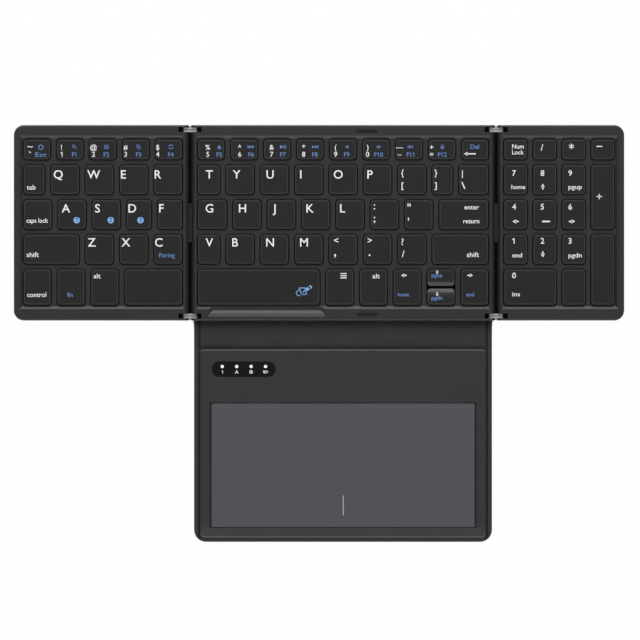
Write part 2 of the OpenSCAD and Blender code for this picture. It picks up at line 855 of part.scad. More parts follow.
// The links of one hinge: two plates on two pins, at the front and at the rear
module hinge_links(side) {
    near = side * (centre_edge - pin_inset);
    far = side * (wing_edge + pin_inset);
    for (y = [-hinge_y, hinge_y], plate = [-1, 1])
        translate([0, y + plate * (link_plate_gap + link_plate_t) / 2, pin_z])
            rotate([90, 0, 0])
                linear_extrude(link_plate_t, center = true)
                    difference() {
                        union() {
                            for (x = [near, far])
                                translate([x, 0])
                                    circle(link_end_r);
                            translate([(near + far) / 2, 0])
                                square([pivot_spacing, 2 * link_end_r], center = true);
                        }
                        for (x = [near, far])
                            translate([x, 0])
                                circle(pin_r + pin_play);
                    }
}

// The flat cable that crosses one hinge, and the sleeve that fills the valley over it
module flex_cable(side) {
    middle = side * (centre_edge + fold_gap / 2);
    translate([middle, 0, pin_z])
        cube([2 * flex_reach, flex_w, flex_t], center = true);
    translate([middle, 0, pin_z])
        rotate([90, 0, 0])
            linear_extrude(sleeve_len, center = true)
                difference() {
                    translate([-pin_inset / 2, sleeve_low])
                        square([pin_inset, sleeve_high - sleeve_low]);
                    for (x = [-1, 1])
                        translate([x * pivot_spacing / 2, 0])
                            circle(panel_t / 2 + sleeve_clear);
                }
}

module left_hinge_links() {
    color(metal_colour)
        raised()
            hinge_links(-1);
}

module right_hinge_links() {
    color(metal_colour)
        raised()
            hinge_links(1);
}

module left_flex_cable() {
    color(rubber_colour)
        raised()
            flex_cable(-1);
}

module right_flex_cable() {
    color(rubber_colour)
        raised()
            flex_cable(1);
}

module left_bottom_case() {
    color(case_colour)
        raised()
            bottom_case(left_end, -wing_edge, false, true, 2);
}

module left_top_case() {
    color(case_colour)
        raised()
            top_case(left_end, -wing_edge, [[-wing_edge, -1]], left_rows);
}

module left_key_plate() {
    color(metal_colour)
        raised()
            key_plate(left_end + wall_t, -wing_edge - hinge_margin);
}

module left_membrane() {
    color(rubber_colour)
        raised()
            membrane(left_end + wall_t, -wing_edge - hinge_margin, left_rows);
}

module left_hinge_pins() {
    color(metal_colour)
        raised()
            hinge_pins(-wing_edge, -1);
}

// Four rubber feet as high as the cover is thick, so that the wings lie level
module feet(end, side) {
    inner = side * (cover_w / 2 + foot_gap + foot_r);
    for (x = [end - side * foot_inset, inner], y = [-1, 1])
        translate([x, y * (half_depth - foot_inset), 0])
            cylinder(r = foot_r, h = cover_t);
}

module left_feet() {
    color(rubber_colour)
        feet(left_end, -1);
}

module right_bottom_case() {
    color(case_colour)
        raised()
            bottom_case(wing_edge, right_end, true, false, 2);
}

module right_top_case() {
    color(case_colour)
        raised()
            top_case(wing_edge, right_end, [[wing_edge, 1]], right_rows);
}

module right_key_plate() {
    color(metal_colour)
        raised()
            key_plate(wing_edge + hinge_margin, right_end - wall_t);
}

module right_membrane() {
    color(rubber_colour)
        raised()
            membrane(wing_edge + hinge_margin, right_end - wall_t, right_rows);
}

module right_hinge_pins() {
    color(metal_colour)
        raised()
            hinge_pins(wing_edge, 1);
}

module right_feet() {
    color(rubber_colour)
        feet(right_end, 1);
}

// The window's outline, at its place on the housing
module window_plan(play) {
    translate([-window_x, pad_back - window_y])
        capsule_plan(window_w + 2 * play, window_d + 2 * play);
}

function light_x(i) = -window_x + (i - 1.5) * light_pitch;

module touchpad_case() {
    color(case_colour)
        difference() {
            translate([0, 0, cover_t])
                rounded_slab(
                    -pad_w / 2, pad_w / 2, pad_front, pad_back, pad_t, pad_corner_r, pad_corner_r, 0,
                    pad_edge_r
                );
            box(
                -pad_w / 2 + wall_t, pad_w / 2 - wall_t, pad_front + wall_t, pad_back - wall_t,
                cover_t - overcut, pad_roof_z
            );
            box(
                -touch_w / 2 - touch_gap, touch_w / 2 + touch_gap, touch_front_y - touch_gap,
                touch_back_y + touch_gap, pad_roof_z - overcut, pad_top_z + overcut
            );
            translate([0, 0, pad_top_z - window_t - window_play])
                linear_extrude(window_t + overcut)
                    window_plan(window_play);
            for (i = [0:3])
                translate([light_x(i), pad_back - window_y + light_y, pad_roof_z - overcut])
                    cylinder(r = light_r, h = pad_skin + overcut);
        }
}

// The base plate under the housing, with the post that the clicked surface presses
module touchpad_base() {
    inset = wall_t + pad_play;
    post_h = touch_board_z - click_travel - 0.05 - pad_floor_z;
    color(case_colour) {
        box(-pad_w / 2 + inset, pad_w / 2 - inset, pad_front + inset, pad_back - inset, cover_t, pad_floor_z);
        translate([0, touch_front_y + switch_in, pad_floor_z])
            cylinder(r = switch_r, h = post_h);
    }
}

module battery() {
    color("#6f7276")
        translate([
            pad_w / 2 - battery_side - battery_w / 2, (touch_back_y + pad_back) / 2,
            (pad_floor_z + pad_roof_z) / 2
        ])
            cube([battery_w, battery_d, pad_roof_z - pad_floor_z - pad_play], center = true);
}

module indicator_window() {
    color("#101010")
        translate([0, 0, pad_top_z - window_t - window_play])
            linear_extrude(window_t)
                window_plan(0);
}

module indicator_lights() {
    y = pad_back - window_y + light_y;
    light_h = pad_roof_z - pad_floor_z - light_board_t - 0.1;
    color("#e8e8e8") {
        box(
            light_x(0) - light_board_end, light_x(3) + light_board_end, y - light_board_d / 2,
            y + light_board_d / 2, pad_floor_z, pad_floor_z + light_board_t
        );
        for (i = [0:3])
            translate([light_x(i), y, pad_floor_z + light_board_t])
                cylinder(r = light_r - 0.1, h = light_h);
    }
}

// The touch surface, with the bead under the housing's roof that it turns on
module touchpad_plate() {
    edge_z = touch_top_z - touch_slope_h;
    color("#525055") {
        rotate([90, 0, 90])
            linear_extrude(touch_w, center = true)
                polygon([
                    [touch_front_y, touch_low_z], [touch_back_y, touch_low_z], [touch_back_y, edge_z],
                    [touch_back_y - touch_slope_d, touch_top_z], [touch_front_y + touch_slope_d, touch_top_z],
                    [touch_front_y, edge_z]
                ]);
        box(
            -touch_w / 2 + bead_in, touch_w / 2 - bead_in, touch_back_y - bead_strip, bead_y,
            bead_z - bead_r, touch_low_z
        );
        translate([-touch_w / 2 + bead_in, bead_y, bead_z])
            rotate([0, 90, 0])
                cylinder(r = bead_r, h = touch_w - 2 * bead_in);
    }
}

module touchpad_board() {
    color("#1f3a26")
        box(
            -touch_w / 2 + touch_board_side, touch_w / 2 - touch_board_side,
            touch_front_y + touch_board_side, touch_back_y - touch_board_back, touch_board_z, touch_low_z
        );
}

module left_number_keys() caps(left_rows[0]);
module left_top_row_keys() caps(left_rows[1]);
module left_home_row_keys() caps(left_rows[2]);
module left_shift_key() caps([left_rows[3][0]]);
module left_letter_keys() caps(picked(left_rows[3], 1, 3));
module left_modifier_keys() caps(picked(left_rows[4], 0, 2));
module left_space_key() caps([left_rows[4][3]]);
module centre_number_keys() caps(centre_rows[0]);
module centre_top_row_keys() caps(centre_rows[1]);
module centre_home_row_keys() caps(picked(centre_rows[2], 0, 6));
module return_key() caps([centre_rows[2][7]]);
module centre_letter_keys() caps(picked(centre_rows[3], 0, 6));
module right_shift_key() caps([centre_rows[3][7]]);
module space_key() caps([space_bar]);
module centre_modifier_keys() caps(picked(centre_rows[4], 1, 2));
module arrow_left_key() caps([centre_rows[4][3]]);
module arrow_up_key() color(key_colour) half_cap(1);
module arrow_down_key() color(key_colour) half_cap(-1);
module arrow_right_key() caps([centre_rows[4][5]]);
module keypad_operator_keys() caps(right_rows[0]);
module keypad_seven_row_keys() caps(right_rows[1]);
module keypad_four_row_keys() caps(right_rows[2]);
module keypad_one_row_keys() caps(right_rows[3]);
module keypad_bottom_keys() caps(right_rows[4]);
module keypad_plus_key() caps(right_rows[5]);
module keypad_enter_key() caps(right_rows[6]);

cover_back();
centre_bottom_case();
centre_top_case();
centre_key_plate();
centre_membrane();
centre_hinge_pins();
fold_bumpers();
charging_socket();
main_board();
left_hinge_links();
left_flex_cable();
right_hinge_links();
right_flex_cable();
left_bottom_case();
left_top_case();
left_key_plate();
left_membrane();
left_hinge_pins();
left_feet();
right_bottom_case();
right_top_case();
right_key_plate();
right_membrane();
right_hinge_pins();
right_feet();
cover_spine();
cover_flap();
touchpad_base();
touchpad_case();
battery();
indicator_window();
indicator_lights();
touchpad_plate();
touchpad_board();
left_number_keys();
left_top_row_keys();
left_home_row_keys();
left_shift_key();
left_letter_keys();
left_modifier_keys();
left_space_key();
centre_number_keys();
centre_top_row_keys();
centre_home_row_keys();
return_key();
centre_letter_keys();
right_shift_key();
space_key();
centre_modifier_keys();
arrow_left_key();
arrow_up_key();
arrow_down_key();
arrow_right_key();
keypad_operator_keys();
keypad_seven_row_keys();
keypad_four_row_keys();
keypad_one_row_keys();
keypad_plus_key();
keypad_enter_key();
keypad_bottom_keys();
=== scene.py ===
import json
from collections import defaultdict
from functools import cache
from math import atan2, cos, hypot, radians, sin

import bmesh
import bpy
from bpy.props import FloatProperty, FloatVectorProperty, IntProperty, PointerProperty
from bpy.types import Operator, Panel, PropertyGroup
from mathutils import Matrix, Vector


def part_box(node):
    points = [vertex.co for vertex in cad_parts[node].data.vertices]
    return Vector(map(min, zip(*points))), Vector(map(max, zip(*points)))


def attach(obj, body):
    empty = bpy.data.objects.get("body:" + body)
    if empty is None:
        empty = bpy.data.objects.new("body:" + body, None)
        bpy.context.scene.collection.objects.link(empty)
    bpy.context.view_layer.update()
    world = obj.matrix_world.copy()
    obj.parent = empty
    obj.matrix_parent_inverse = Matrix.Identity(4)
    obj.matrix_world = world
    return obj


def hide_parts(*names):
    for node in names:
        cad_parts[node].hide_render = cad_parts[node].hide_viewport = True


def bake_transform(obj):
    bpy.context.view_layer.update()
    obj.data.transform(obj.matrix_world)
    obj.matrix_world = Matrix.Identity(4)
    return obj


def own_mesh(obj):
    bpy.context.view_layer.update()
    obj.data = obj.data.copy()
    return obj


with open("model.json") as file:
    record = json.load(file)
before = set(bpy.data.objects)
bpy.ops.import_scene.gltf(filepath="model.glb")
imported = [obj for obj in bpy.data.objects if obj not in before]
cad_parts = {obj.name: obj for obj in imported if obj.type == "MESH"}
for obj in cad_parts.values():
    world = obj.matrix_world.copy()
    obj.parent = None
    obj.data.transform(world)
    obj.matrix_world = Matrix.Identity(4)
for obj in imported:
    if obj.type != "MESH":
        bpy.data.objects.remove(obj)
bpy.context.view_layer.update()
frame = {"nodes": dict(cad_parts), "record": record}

bl_info = {
    "name": "Folding keyboard",
    "version": (1, 0, 0),
    "blender": (4, 5, 0),
    "location": "3D View > Sidebar > Keyboard",
    "description": "Keycaps, legends, leatherette cover and finishes of a folding keyboard",
    "category": "Add Mesh",
}

MM = 0.001
WHITE = (1, 1, 1, 1)

# The nodes of the frame, by what they are made of
KEY_NODES = sorted(n for n in frame["nodes"] if n.endswith(("_keys", "_key")))
CASE_NODES = [n for n in frame["nodes"] if n.endswith(("_top_case", "_bottom_case"))]
STEEL_NODES = [n for n in frame["nodes"] if n.endswith(("_pins", "_links", "_key_plate"))]
RUBBER_NODES = [n for n in frame["nodes"] if n.endswith(("_feet", "_membrane", "_bumpers"))]
PLAIN_FINISHES = {
    "touchpad_case": "housing_plastic",
    "touchpad_base": "housing_plastic",
    "charging_socket": "brushed_steel",
    "main_board": "circuit_board",
    "touchpad_board": "circuit_board",
    "battery": "battery_foil",
    "indicator_window": "smoked_window",
    "indicator_lights": "milky_lamp",
}

# Letters that stand in rows: node, first cap from the left, letters, start of the first on its cap,
# baseline from the cap's rear edge and spacing, in millimetres
LETTER_ROWS = [
    ("left_top_row_keys", 1, "QWER", 1.7, 7.6, 18.65),
    ("centre_top_row_keys", 0, "T", 4.6, 7.6, 0),
    ("centre_top_row_keys", 1, "YUIOP", 3.9, 7.6, 18.65),
    ("left_home_row_keys", 1, "ASD", 2.3, 7.1, 18.5),
    ("left_home_row_keys", 4, "F", 1.1, 7.1, 0),
    ("centre_home_row_keys", 0, "G", 4.5, 7.1, 0),
    ("centre_home_row_keys", 1, "HJKL", 3.5, 7.1, 18.7),
    ("left_letter_keys", 0, "ZXC", 1.6, 6.7, 18.6),
    ("centre_letter_keys", 0, "V", 4.5, 6.7, 0),
    ("centre_letter_keys", 1, "BNM", 3.6, 6.7, 18.8),
]
LETTER_H = 4.6

# Number rows: node, first cap, shifted signs, digits, middle of the first pair and spacing
NUMBER_ROWS = [
    ("left_number_keys", 1, "!@#$", "1234", 2.9, 17.8),
    ("centre_number_keys", 0, "%^&*()—+", "567890–=", 5.7, 17.73),
]
NUMBER_H = 2.7
SHIFTED_BASE = 5.7
NUMBER_BASE = 9.6

# The blue second functions of the number rows: node, first cap, signs, first function number,
# middle of the first sign and spacing
FUNCTION_ROWS = [
    ("left_number_keys", 1, ["find", "save", "copy", "paste"], 1, 10.0, 17.85),
    (
        "centre_number_keys", 0,
        ["bell", "back", "play", "next", "mute", "quieter", "louder", "lock"], 5, 12.1, 17.67,
    ),
]
FUNCTION_H = 2.4
SIGN_MIDDLE = 4.15

# Words and single characters by node: cap from the left, text, ink, height of its capitals, start from
# the cap's left edge, baseline from its rear edge or, below zero, from its front edge, and width or 0
WORDS = {
    "left_number_keys": [
        (0, "~", "white", 3.0, 2.3, 5.3, 3.0), (0, "`", "white", 3.6, 2.9, 10.2, 1.4),
        (0, "Esc", "blue", 2.4, 6.7, 9.6, 6.2),
    ],
    "left_top_row_keys": [(0, "tab", "white", 2.5, 1.9, -2.8, 5.0)],
    "left_home_row_keys": [(0, "caps lock", "white", 2.5, 1.8, -3.7, 12.0)],
    "left_shift_key": [(0, "shift", "white", 2.6, 1.9, -4.0, 6.8)],
    "left_letter_keys": [(2, "Pairing", "blue", 2.4, 3.0, -3.8, 8.7)],
    "left_modifier_keys": [
        (0, "control", "white", 2.5, 2.2, -4.6, 10.6), (1, "fn", "blue", 2.5, 5.6, -4.6, 3.1),
        (2, "alt", "white", 2.5, 1.6, 5.0, 3.9),
    ],
    "centre_number_keys": [(8, "Del", "blue", 2.4, 5.0, 5.2, 4.9)],
    "centre_top_row_keys": [
        (6, "{", "white", 3.2, 2.0, 6.0, 0), (6, "[", "white", 3.2, 2.2, 12.9, 0),
        (7, "}", "white", 3.2, 1.5, 6.0, 0), (7, "]", "white", 3.2, 1.5, 12.9, 0),
        (8, "|", "white", 3.2, 1.9, 6.3, 0), (8, "\\", "white", 3.6, 1.5, 13.2, 2.3),
    ],
    "centre_home_row_keys": [
        (5, ":", "white", 4.2, 2.0, 5.4, 0), (5, ";", "white", 4.2, 2.0, 12.4, 0),
        (6, "\"", "white", 4.4, 1.7, 6.8, 0), (6, "'", "white", 4.4, 1.9, 14.6, 0),
    ],
    "centre_letter_keys": [
        (4, "<", "white", 3.4, 2.9, 5.0, 0), (4, ",", "white", 5.2, 2.9, 11.9, 0),
        (5, ">", "white", 3.4, 2.4, 5.0, 0), (5, ".", "white", 5.2, 3.0, 11.9, 0),
        (6, "?", "white", 3.5, 2.2, 5.8, 0), (6, "/", "white", 3.5, 2.4, 12.5, 0),
    ],
    "return_key": [(0, "enter", "white", 2.5, 14.2, 5.4, 8.1), (0, "return", "white", 2.5, 13.6, 13.1, 8.9)],
    "right_shift_key": [(0, "shift", "white", 2.6, 19.4, -4.0, 6.7)],
    "centre_modifier_keys": [(1, "alt", "white", 2.5, 7.2, 5.0, 4.1)],
    "arrow_left_key": [(0, "home", "blue", 2.1, 2.6, -4.9, 6.2)],
    "arrow_right_key": [(0, "end", "blue", 2.1, 3.1, -4.9, 4.3)],
    "arrow_up_key": [(0, "pgup", "blue", 2.1, 2.6, 4.3, 6.1)],
    "arrow_down_key": [(0, "pgdn", "blue", 2.1, 2.6, 6.5, 6.1)],
    "keypad_operator_keys": [
        (0, "Num", "white", 2.4, 4.7, 5.1, 6.4), (0, "Lock", "white", 2.4, 4.7, 8.3, 6.4),
        (1, "/", "white", 3.5, 4.4, 6.2, 0), (2, "*", "white", 4.6, 4.0, 7.2, 0),
    ],
    "keypad_seven_row_keys": [
        (0, "home", "white", 2.4, 4.3, -3.1, 7.6), (2, "pgup", "white", 2.4, 3.7, -3.1, 7.4),
    ],
    "keypad_one_row_keys": [
        (0, "end", "white", 2.4, 4.7, -3.8, 5.5), (2, "pgdn", "white", 2.4, 3.7, -3.8, 7.4),
    ],
    "keypad_bottom_keys": [(0, "ins", "white", 2.4, 4.7, -5.0, 4.3)],
}

# Rows of the number pad: node, digits and their baseline from the caps' rear edge
PAD_ROWS = [
    ("keypad_seven_row_keys", "789", 6.1),
    ("keypad_four_row_keys", "456", 5.5),
    ("keypad_one_row_keys", "123", 5.1),
    ("keypad_bottom_keys", "0", 5.0),
]
PAD_STARTS = [4.7, 4.4, 3.7]
PAD_H = 3.1

# Signs built of simple shapes, in shares of their height: a line has two ends and a width, a ring or a
# disc its middle and radius, and a wedge its middle, radius and the direction that it points in, in degrees
SIGNS = {
    "find": {"ring": [(-0.1, 0.12, 0.3)], "line": [(0.12, -0.1, 0.45, -0.45, 0.16)]},
    "save": {
        "line": [
            (-0.42, 0.4, 0.42, 0.4, 0.14), (-0.42, -0.4, 0.42, -0.4, 0.14), (-0.42, -0.47, -0.42, 0.47, 0.14),
            (0.42, -0.47, 0.42, 0.47, 0.14), (-0.42, 0, 0.42, 0, 0.16),
        ],
    },
    "copy": {
        "line": [
            (-0.4, 0.42, 0.2, 0.42, 0.13), (-0.4, -0.3, -0.4, 0.48, 0.13), (-0.1, 0.1, 0.42, 0.1, 0.13),
            (0.42, -0.5, 0.42, 0.16, 0.13), (-0.1, -0.44, 0.42, -0.44, 0.13), (-0.1, -0.5, -0.1, 0.16, 0.13),
        ],
    },
    "paste": {
        "line": [
            (-0.45, 0.38, 0.45, 0.38, 0.2), (-0.38, -0.45, -0.38, 0.45, 0.13),
            (-0.4, -0.42, 0.45, -0.42, 0.13), (0.4, -0.45, 0.4, 0.0, 0.2),
        ],
    },
    "bell": {
        "wedge": [(0, 0.03, 0.5, 90)],
        "disc": [(0, 0.34, 0.15)],
        "line": [(-0.45, -0.4, 0.45, -0.4, 0.16)],
    },
    "back": {
        "line": [(-0.75, -0.4, -0.75, 0.4, 0.16)],
        "wedge": [(-0.35, 0, 0.42, 180), (0.32, 0, 0.42, 180)],
    },
    "play": {
        "wedge": [(-0.45, 0, 0.5, 0)],
        "line": [(0.2, -0.4, 0.2, 0.4, 0.18), (0.6, -0.4, 0.6, 0.4, 0.18)],
    },
    "next": {"wedge": [(-0.45, 0, 0.42, 0), (0.22, 0, 0.42, 0)], "line": [(0.75, -0.4, 0.75, 0.4, 0.16)]},
    "mute": {"line": [(-0.3, 0, -0.05, 0, 0.4)], "wedge": [(0.12, 0, 0.48, 180)]},
    "quieter": {
        "line": [(-0.5, 0, -0.25, 0, 0.4)],
        "wedge": [(-0.08, 0, 0.48, 180)],
        "disc": [(0.5, 0, 0.12)],
    },
    "louder": {
        "line": [(-0.7, 0, -0.45, 0, 0.4), (0.22, -0.2, 0.22, 0.2, 0.13), (0.5, -0.35, 0.5, 0.35, 0.13)],
        "wedge": [(-0.28, 0, 0.48, 180)],
    },
    "lock": {"line": [(0, -0.42, 0, 0.1, 0.75)], "ring": [(0, 0.18, 0.22)]},
    "house": {
        "line": [
            (-0.5, -0.02, 0, 0.42, 0.14), (0.5, -0.02, 0, 0.42, 0.14), (-0.32, -0.45, -0.32, 0.05, 0.13),
            (0.32, -0.45, 0.32, 0.05, 0.13), (-0.38, -0.42, 0.38, -0.42, 0.13),
        ],
    },
    "menu": {
        "line": [(-0.5, 0.36, 0.5, 0.36, 0.16), (-0.5, 0, 0.5, 0, 0.16), (-0.5, -0.36, 0.5, -0.36, 0.16)],
    },
    "minus": {"line": [(-0.5, 0, 0.5, 0, 0.18)]},
    "plus": {"line": [(-0.5, 0, 0.5, 0, 0.18), (0, -0.5, 0, 0.5, 0.18)]},
    "short_arrow": {"line": [(-0.5, 0, 0.15, 0, 0.22)], "wedge": [(0.12, 0, 0.4, 0)]},
    "touch_off": {
        "line": [
            (-0.46, 0.26, 0.12, 0.26, 0.07), (-0.46, 0.29, -0.18, -0.36, 0.08),
            (-0.2, -0.34, 0.3, -0.34, 0.07), (0.27, -0.37, 0.18, -0.1, 0.07),
            (-0.46, 0.08, -0.74, -0.17, 0.07), (-0.73, -0.13, -0.6, -0.48, 0.07),
            (-0.63, -0.45, -0.3, -0.45, 0.07), (0.2, 0.1, -0.08, -0.13, 0.1), (0.1, 0.03, 0.58, 0.3, 0.3),
        ],
        "disc": [(0.58, 0.33, 0.17)],
    },
    "long_arrow": {"line": [(-0.5, 0, 0.35, 0, 0.1)], "wedge": [(0.32, 0, 0.2, 0)]},
    "waves": {"ring": [(0, 0, 0.16), (0, 0, 0.45)]},
    "disc": {"disc": [(0, 0, 0.5)]},
    "mark": {"line": [(0, -0.5, 0, 0.5, 0.05)]},
    "cell": {
        "line": [
            (-0.6, 0.3, 0.5, 0.3, 0.14), (-0.6, -0.3, 0.5, -0.3, 0.14), (-0.6, -0.37, -0.6, 0.37, 0.14),
            (0.5, -0.37, 0.5, 0.37, 0.14), (0.62, 0, 0.78, 0, 0.3), (-0.4, 0, -0.05, 0, 0.34),
        ],
    },
}

# Where the signs stand: node, cap from the left, sign, ink, height, turn in degrees, middle from the
# cap's left edge, and from its rear edge or, below zero, from its front edge
SIGN_PLACES = [
    ("left_number_keys", 0, "house", "blue", 3.2, 0, 9.8, 4.2),
    ("centre_number_keys", 8, "long_arrow", "white", 6.4, 180, 4.8, 8.0),
    ("centre_modifier_keys", 0, "menu", "white", 3.4, 0, 9.9, 3.6),
    ("arrow_left_key", 0, "short_arrow", "white", 3.0, 180, 6.0, 3.4),
    ("arrow_right_key", 0, "short_arrow", "white", 3.0, 0, 5.3, 3.4),
    ("arrow_up_key", 0, "short_arrow", "white", 2.3, 90, 5.7, 1.6),
    ("arrow_down_key", 0, "short_arrow", "white", 2.3, -90, 5.7, 3.4),
    ("space_key", 0, "touch_off", "pale", 6.0, 0, 59.0, 11.9),
    ("keypad_operator_keys", 3, "minus", "white", 3.2, 0, 4.8, 3.9),
    ("keypad_plus_key", 0, "plus", "white", 2.9, 0, 4.7, 17.6),
    ("keypad_seven_row_keys", 1, "short_arrow", "white", 3.2, 90, 5.6, -4.4),
    ("keypad_four_row_keys", 0, "short_arrow", "white", 3.4, 180, 6.6, -4.4),
    ("keypad_four_row_keys", 1, "minus", "white", 4.4, 0, 7.4, -4.4),
    ("keypad_four_row_keys", 2, "short_arrow", "white", 3.4, 0, 5.6, -4.4),
    ("keypad_one_row_keys", 1, "short_arrow", "white", 3.2, -90, 5.6, -5.5),
]

# Discs with a numeral, on the left home row: cap, numeral and middle from the cap's left edge; the
# middle from its rear edge, the radius, and a numeral's height and drop below the middle
DISCS = [(1, "1", 10.6), (2, "2", 10.4), (3, "3", 7.9)]
DISC_Y = 11.4
DISC_R = 1.8
DISC_NUMERAL_H = 2.3
DISC_NUMERAL_DROP = 0.805

# The font's figure one is a bare stroke. The slanting stroke that it gets at its top, in shares of a
# capital's height: its middle from the figure's right end and over the baseline, length, width and slant
# in degrees
ONE_BACK, ONE_RISE, ONE_LENGTH, ONE_WIDTH, ONE_SLANT = 0.24, 0.84, 0.38, 0.14, 38

# Half of a ring's wall, in shares of a sign's height, and the corners of a circle and of a wedge
RING_WALL = 0.07
ROUND = 20
WEDGE = 3

# The two half caps slope towards each other: the side of the slope, 1 for +Y
FACING = {"arrow_up_key": -1, "arrow_down_key": 1}

# A cap's finishes: its top, the line round it, lighter as a painted highlight, and its rounding and sides,
# darker as painted shade
CAP_FINISHES = ["keycap_plastic", "rim_painted_highlight", "cap_side_painted_shade"]
TOP, RIM, SIDE = range(3)

# A cap's face is part of its top when its normal points up by the first share, and a slope when it points
# up by less than the second; and the corners of a plunger
UPWARDS = 0.9
LEVEL = 0.99
PLUNGER_CORNERS = 16

# How deep a print starts under its surface, and how far a numeral stands over its disc, in shares of the ink
INK_SUNK = 0.7
INK_OVER = 0.3

# The short mark between the two halves of the touch surface, in millimetres
MARK_X = 0.1
MARK_Y = -156.8
MARK_H = 11.0

# The four lights in their window, and the signs below them: their middle line and height
LAMP_X = -67.05
LAMP_PITCH = 8.0
LAMP_Y = -79.7
LAMP_R = 0.9
LAMP_SIGNS = ["1", "A", "waves", "cell"]
LAMP_SIGN_Y = -82.7
LAMP_SIGN_H = 1.9

# Bands of painted light and shade: axis, distance from the middle, half width, in millimetres, and share of
# the shade. The panels' half round edges along the hinge lines are darkened almost to black, which is painted
# shade of the gap between them. The housing's rounded edge is lighter as a painted highlight, its sides are
# darker as painted shade, and its front is lighter as painted light. The leatherette is darker along those
# sides as painted shade and lighter in front of the housing as painted light, and the touch plate is darker
# at its ends as painted shade
PANEL_PAINTED_SHADE = [("X", 84.9, 2.35, 0.2)]
HOUSING_PAINTED_LIGHT = [("Z", 3.55, 0.27, 2.6), ("X", 79.4, 0.6, 0.2), ("Y", 171.7, 2.7, 1.4)]
COVER_PAINTED_LIGHT = [("X", 79.9, 0.7, 0.15), ("Y", 176.5, 1.1, 1.5)]
PLATE_PAINTED_SHADE = [("X", 73.3, 0.35, 0.2)]
EDGE_RINGS = 3  # faces across the rounding of the cover's edges
BAND_FADE = 0.15  # the share of a band's half width over which it fades out, inwards and outwards
DULL_SWING = 0.06  # how far a grained surface's roughness strays to either side

# The leatherette: width of its pebbles, over what width and how far their pattern is bent, width of its
# pores and of its clouds, and depth of its relief
PEBBLE = 0.85 * MM
BEND_WIDTH = 2.2 * MM
BEND = 0.7 * MM
PORE = 0.2 * MM
CLOUD = 20 * MM
LEATHER_DEPTH = 0.04 * MM

# The cover's two fold lines, and the middle of the spine between them
JOINTS = {joint["name"]: joint for joint in frame["record"]["behaviour"]["joints"]}
FIRST_FOLD = JOINTS["cover_spine_fold"]["pos_m"][1]
SECOND_FOLD = JOINTS["cover_flap_fold"]["pos_m"][1]
MID_SPINE = (FIRST_FOLD + SECOND_FOLD) / 2

# The picture's middle on the table, in millimetres, the caps' height, and the table just under the object
VIEW_X = -12.8
VIEW_Y = -53.9
KEY_TOP = 0.006
TABLE_Z = -0.0001
TABLE_SIDE = 8.0

# The table is plain white by that share where the object leaves at least half of the sky open, and where it
# covers most of it the paper's colour is darkened to the shade share as painted shade; the sky is looked for
# over that distance
WHITE_SHARE = 0.97
SHADE_SHARE = 0.04
SKY_REACH = 25 * MM
OPENING = {"From Min": 0.35, "From Max": 0.5}

# The soft boxes: width and depth, and how far they stand from the picture's middle and over the table
BOX_SIZE = (3.0, 2.5)
BOX_AWAY = 1.9
BOX_HEIGHT = 1.3

TINY = 1e-6  # places closer than that are one place

# Every finish by name, once they are made
finishes = {}


def rgb(hex_colour):
    """Turns a colour as it looks on a screen into the linear values that the shaders take."""
    parts = [int(hex_colour[i:i + 2], 16) / 255 for i in (1, 3, 5)]
    return [c / 12.92 if c <= 0.04045 else ((c + 0.055) / 1.055) ** 2.4 for c in parts] + [1.0]


def colour_property(name, text, hex_colour):
    return FloatVectorProperty(
        name=name, description=text, subtype="COLOR", size=4, min=0, max=1, default=rgb(hex_colour)
    )


def length_property(name, text, mm):
    return FloatProperty(
        name=name, description=text, default=mm * MM, min=0, soft_max=10 * mm * MM, precision=5, unit="LENGTH"
    )


class FinishSettings(PropertyGroup):
    """Colours of the keyboard's surfaces."""

    case: colour_property("Case", "Moulded plastic of the panels", "#2a2a2b")
    housing: colour_property("Housing", "Moulded plastic round the touch surface", "#2e2e2f")
    keycap: colour_property("Keycap", "Fine matt plastic of the keys", "#1e1e1f")
    # Painted highlight: the lighter line round a cap's top and the half caps' slopes
    rim: colour_property("Keycap rim", "The polished line round a cap's top", "#3c3c3d")
    # Painted shade: the darker rounding and sides of a cap
    cap_side: colour_property("Keycap sides", "Rounded edge and sides of the keys", "#161617")
    cover: colour_property("Cover", "Leatherette", "#303031")
    touch: colour_property("Touch surface", "Frosted glass", "#514f55")
    steel: colour_property("Steel", "Links, pins and plates", "#d8d8da")
    rubber: colour_property("Rubber", "Feet, bumpers, sleeves and domes", "#1c1c1c")
    white_ink: colour_property("White print", "Letters and words", "#f2f2f2")
    blue_ink: colour_property("Blue print", "Second functions", "#6488bf")
    pale_ink: colour_property("Pale blue print", "Discs with numerals and the touchpad sign", "#7fb0e2")


class KeySettings(PropertyGroup):
    """Shape of the keycaps and their prints."""

    corner: length_property("Corner", "Corner radius of a cap, seen from above", 2.1)
    bevel: length_property("Rounding", "Width of the rounding round a cap's top", 0.5)
    # The line carries the rim's painted highlight
    rim: length_property("Rim", "Width of the polished line inside the rounding", 0.4)
    wall: length_property("Wall", "Thickness of a cap's side walls", 1.0)
    skin: length_property("Skin", "Thickness of a cap's top", 0.8)
    plunger: length_property("Plunger", "Radius of the plunger under a cap", 1.3)
    plunger_lift: length_property("Plunger lift", "From a cap's lower edge up to its plunger", 0.35)
    facing_length: length_property("Facing slope length", "Depth of the half caps' slopes", 2.5)
    facing_height: length_property("Facing slope height", "Height of the half caps' slopes", 0.8)
    ink: length_property("Ink", "Height of a print over its surface", 0.015)
    bold: FloatProperty(
        name="Bold", description="Weight added to the letters, as a share of their size", default=0.008
    )
    rings: IntProperty(name="Rings", description="Faces across a rounding", default=4, min=2, max=8)


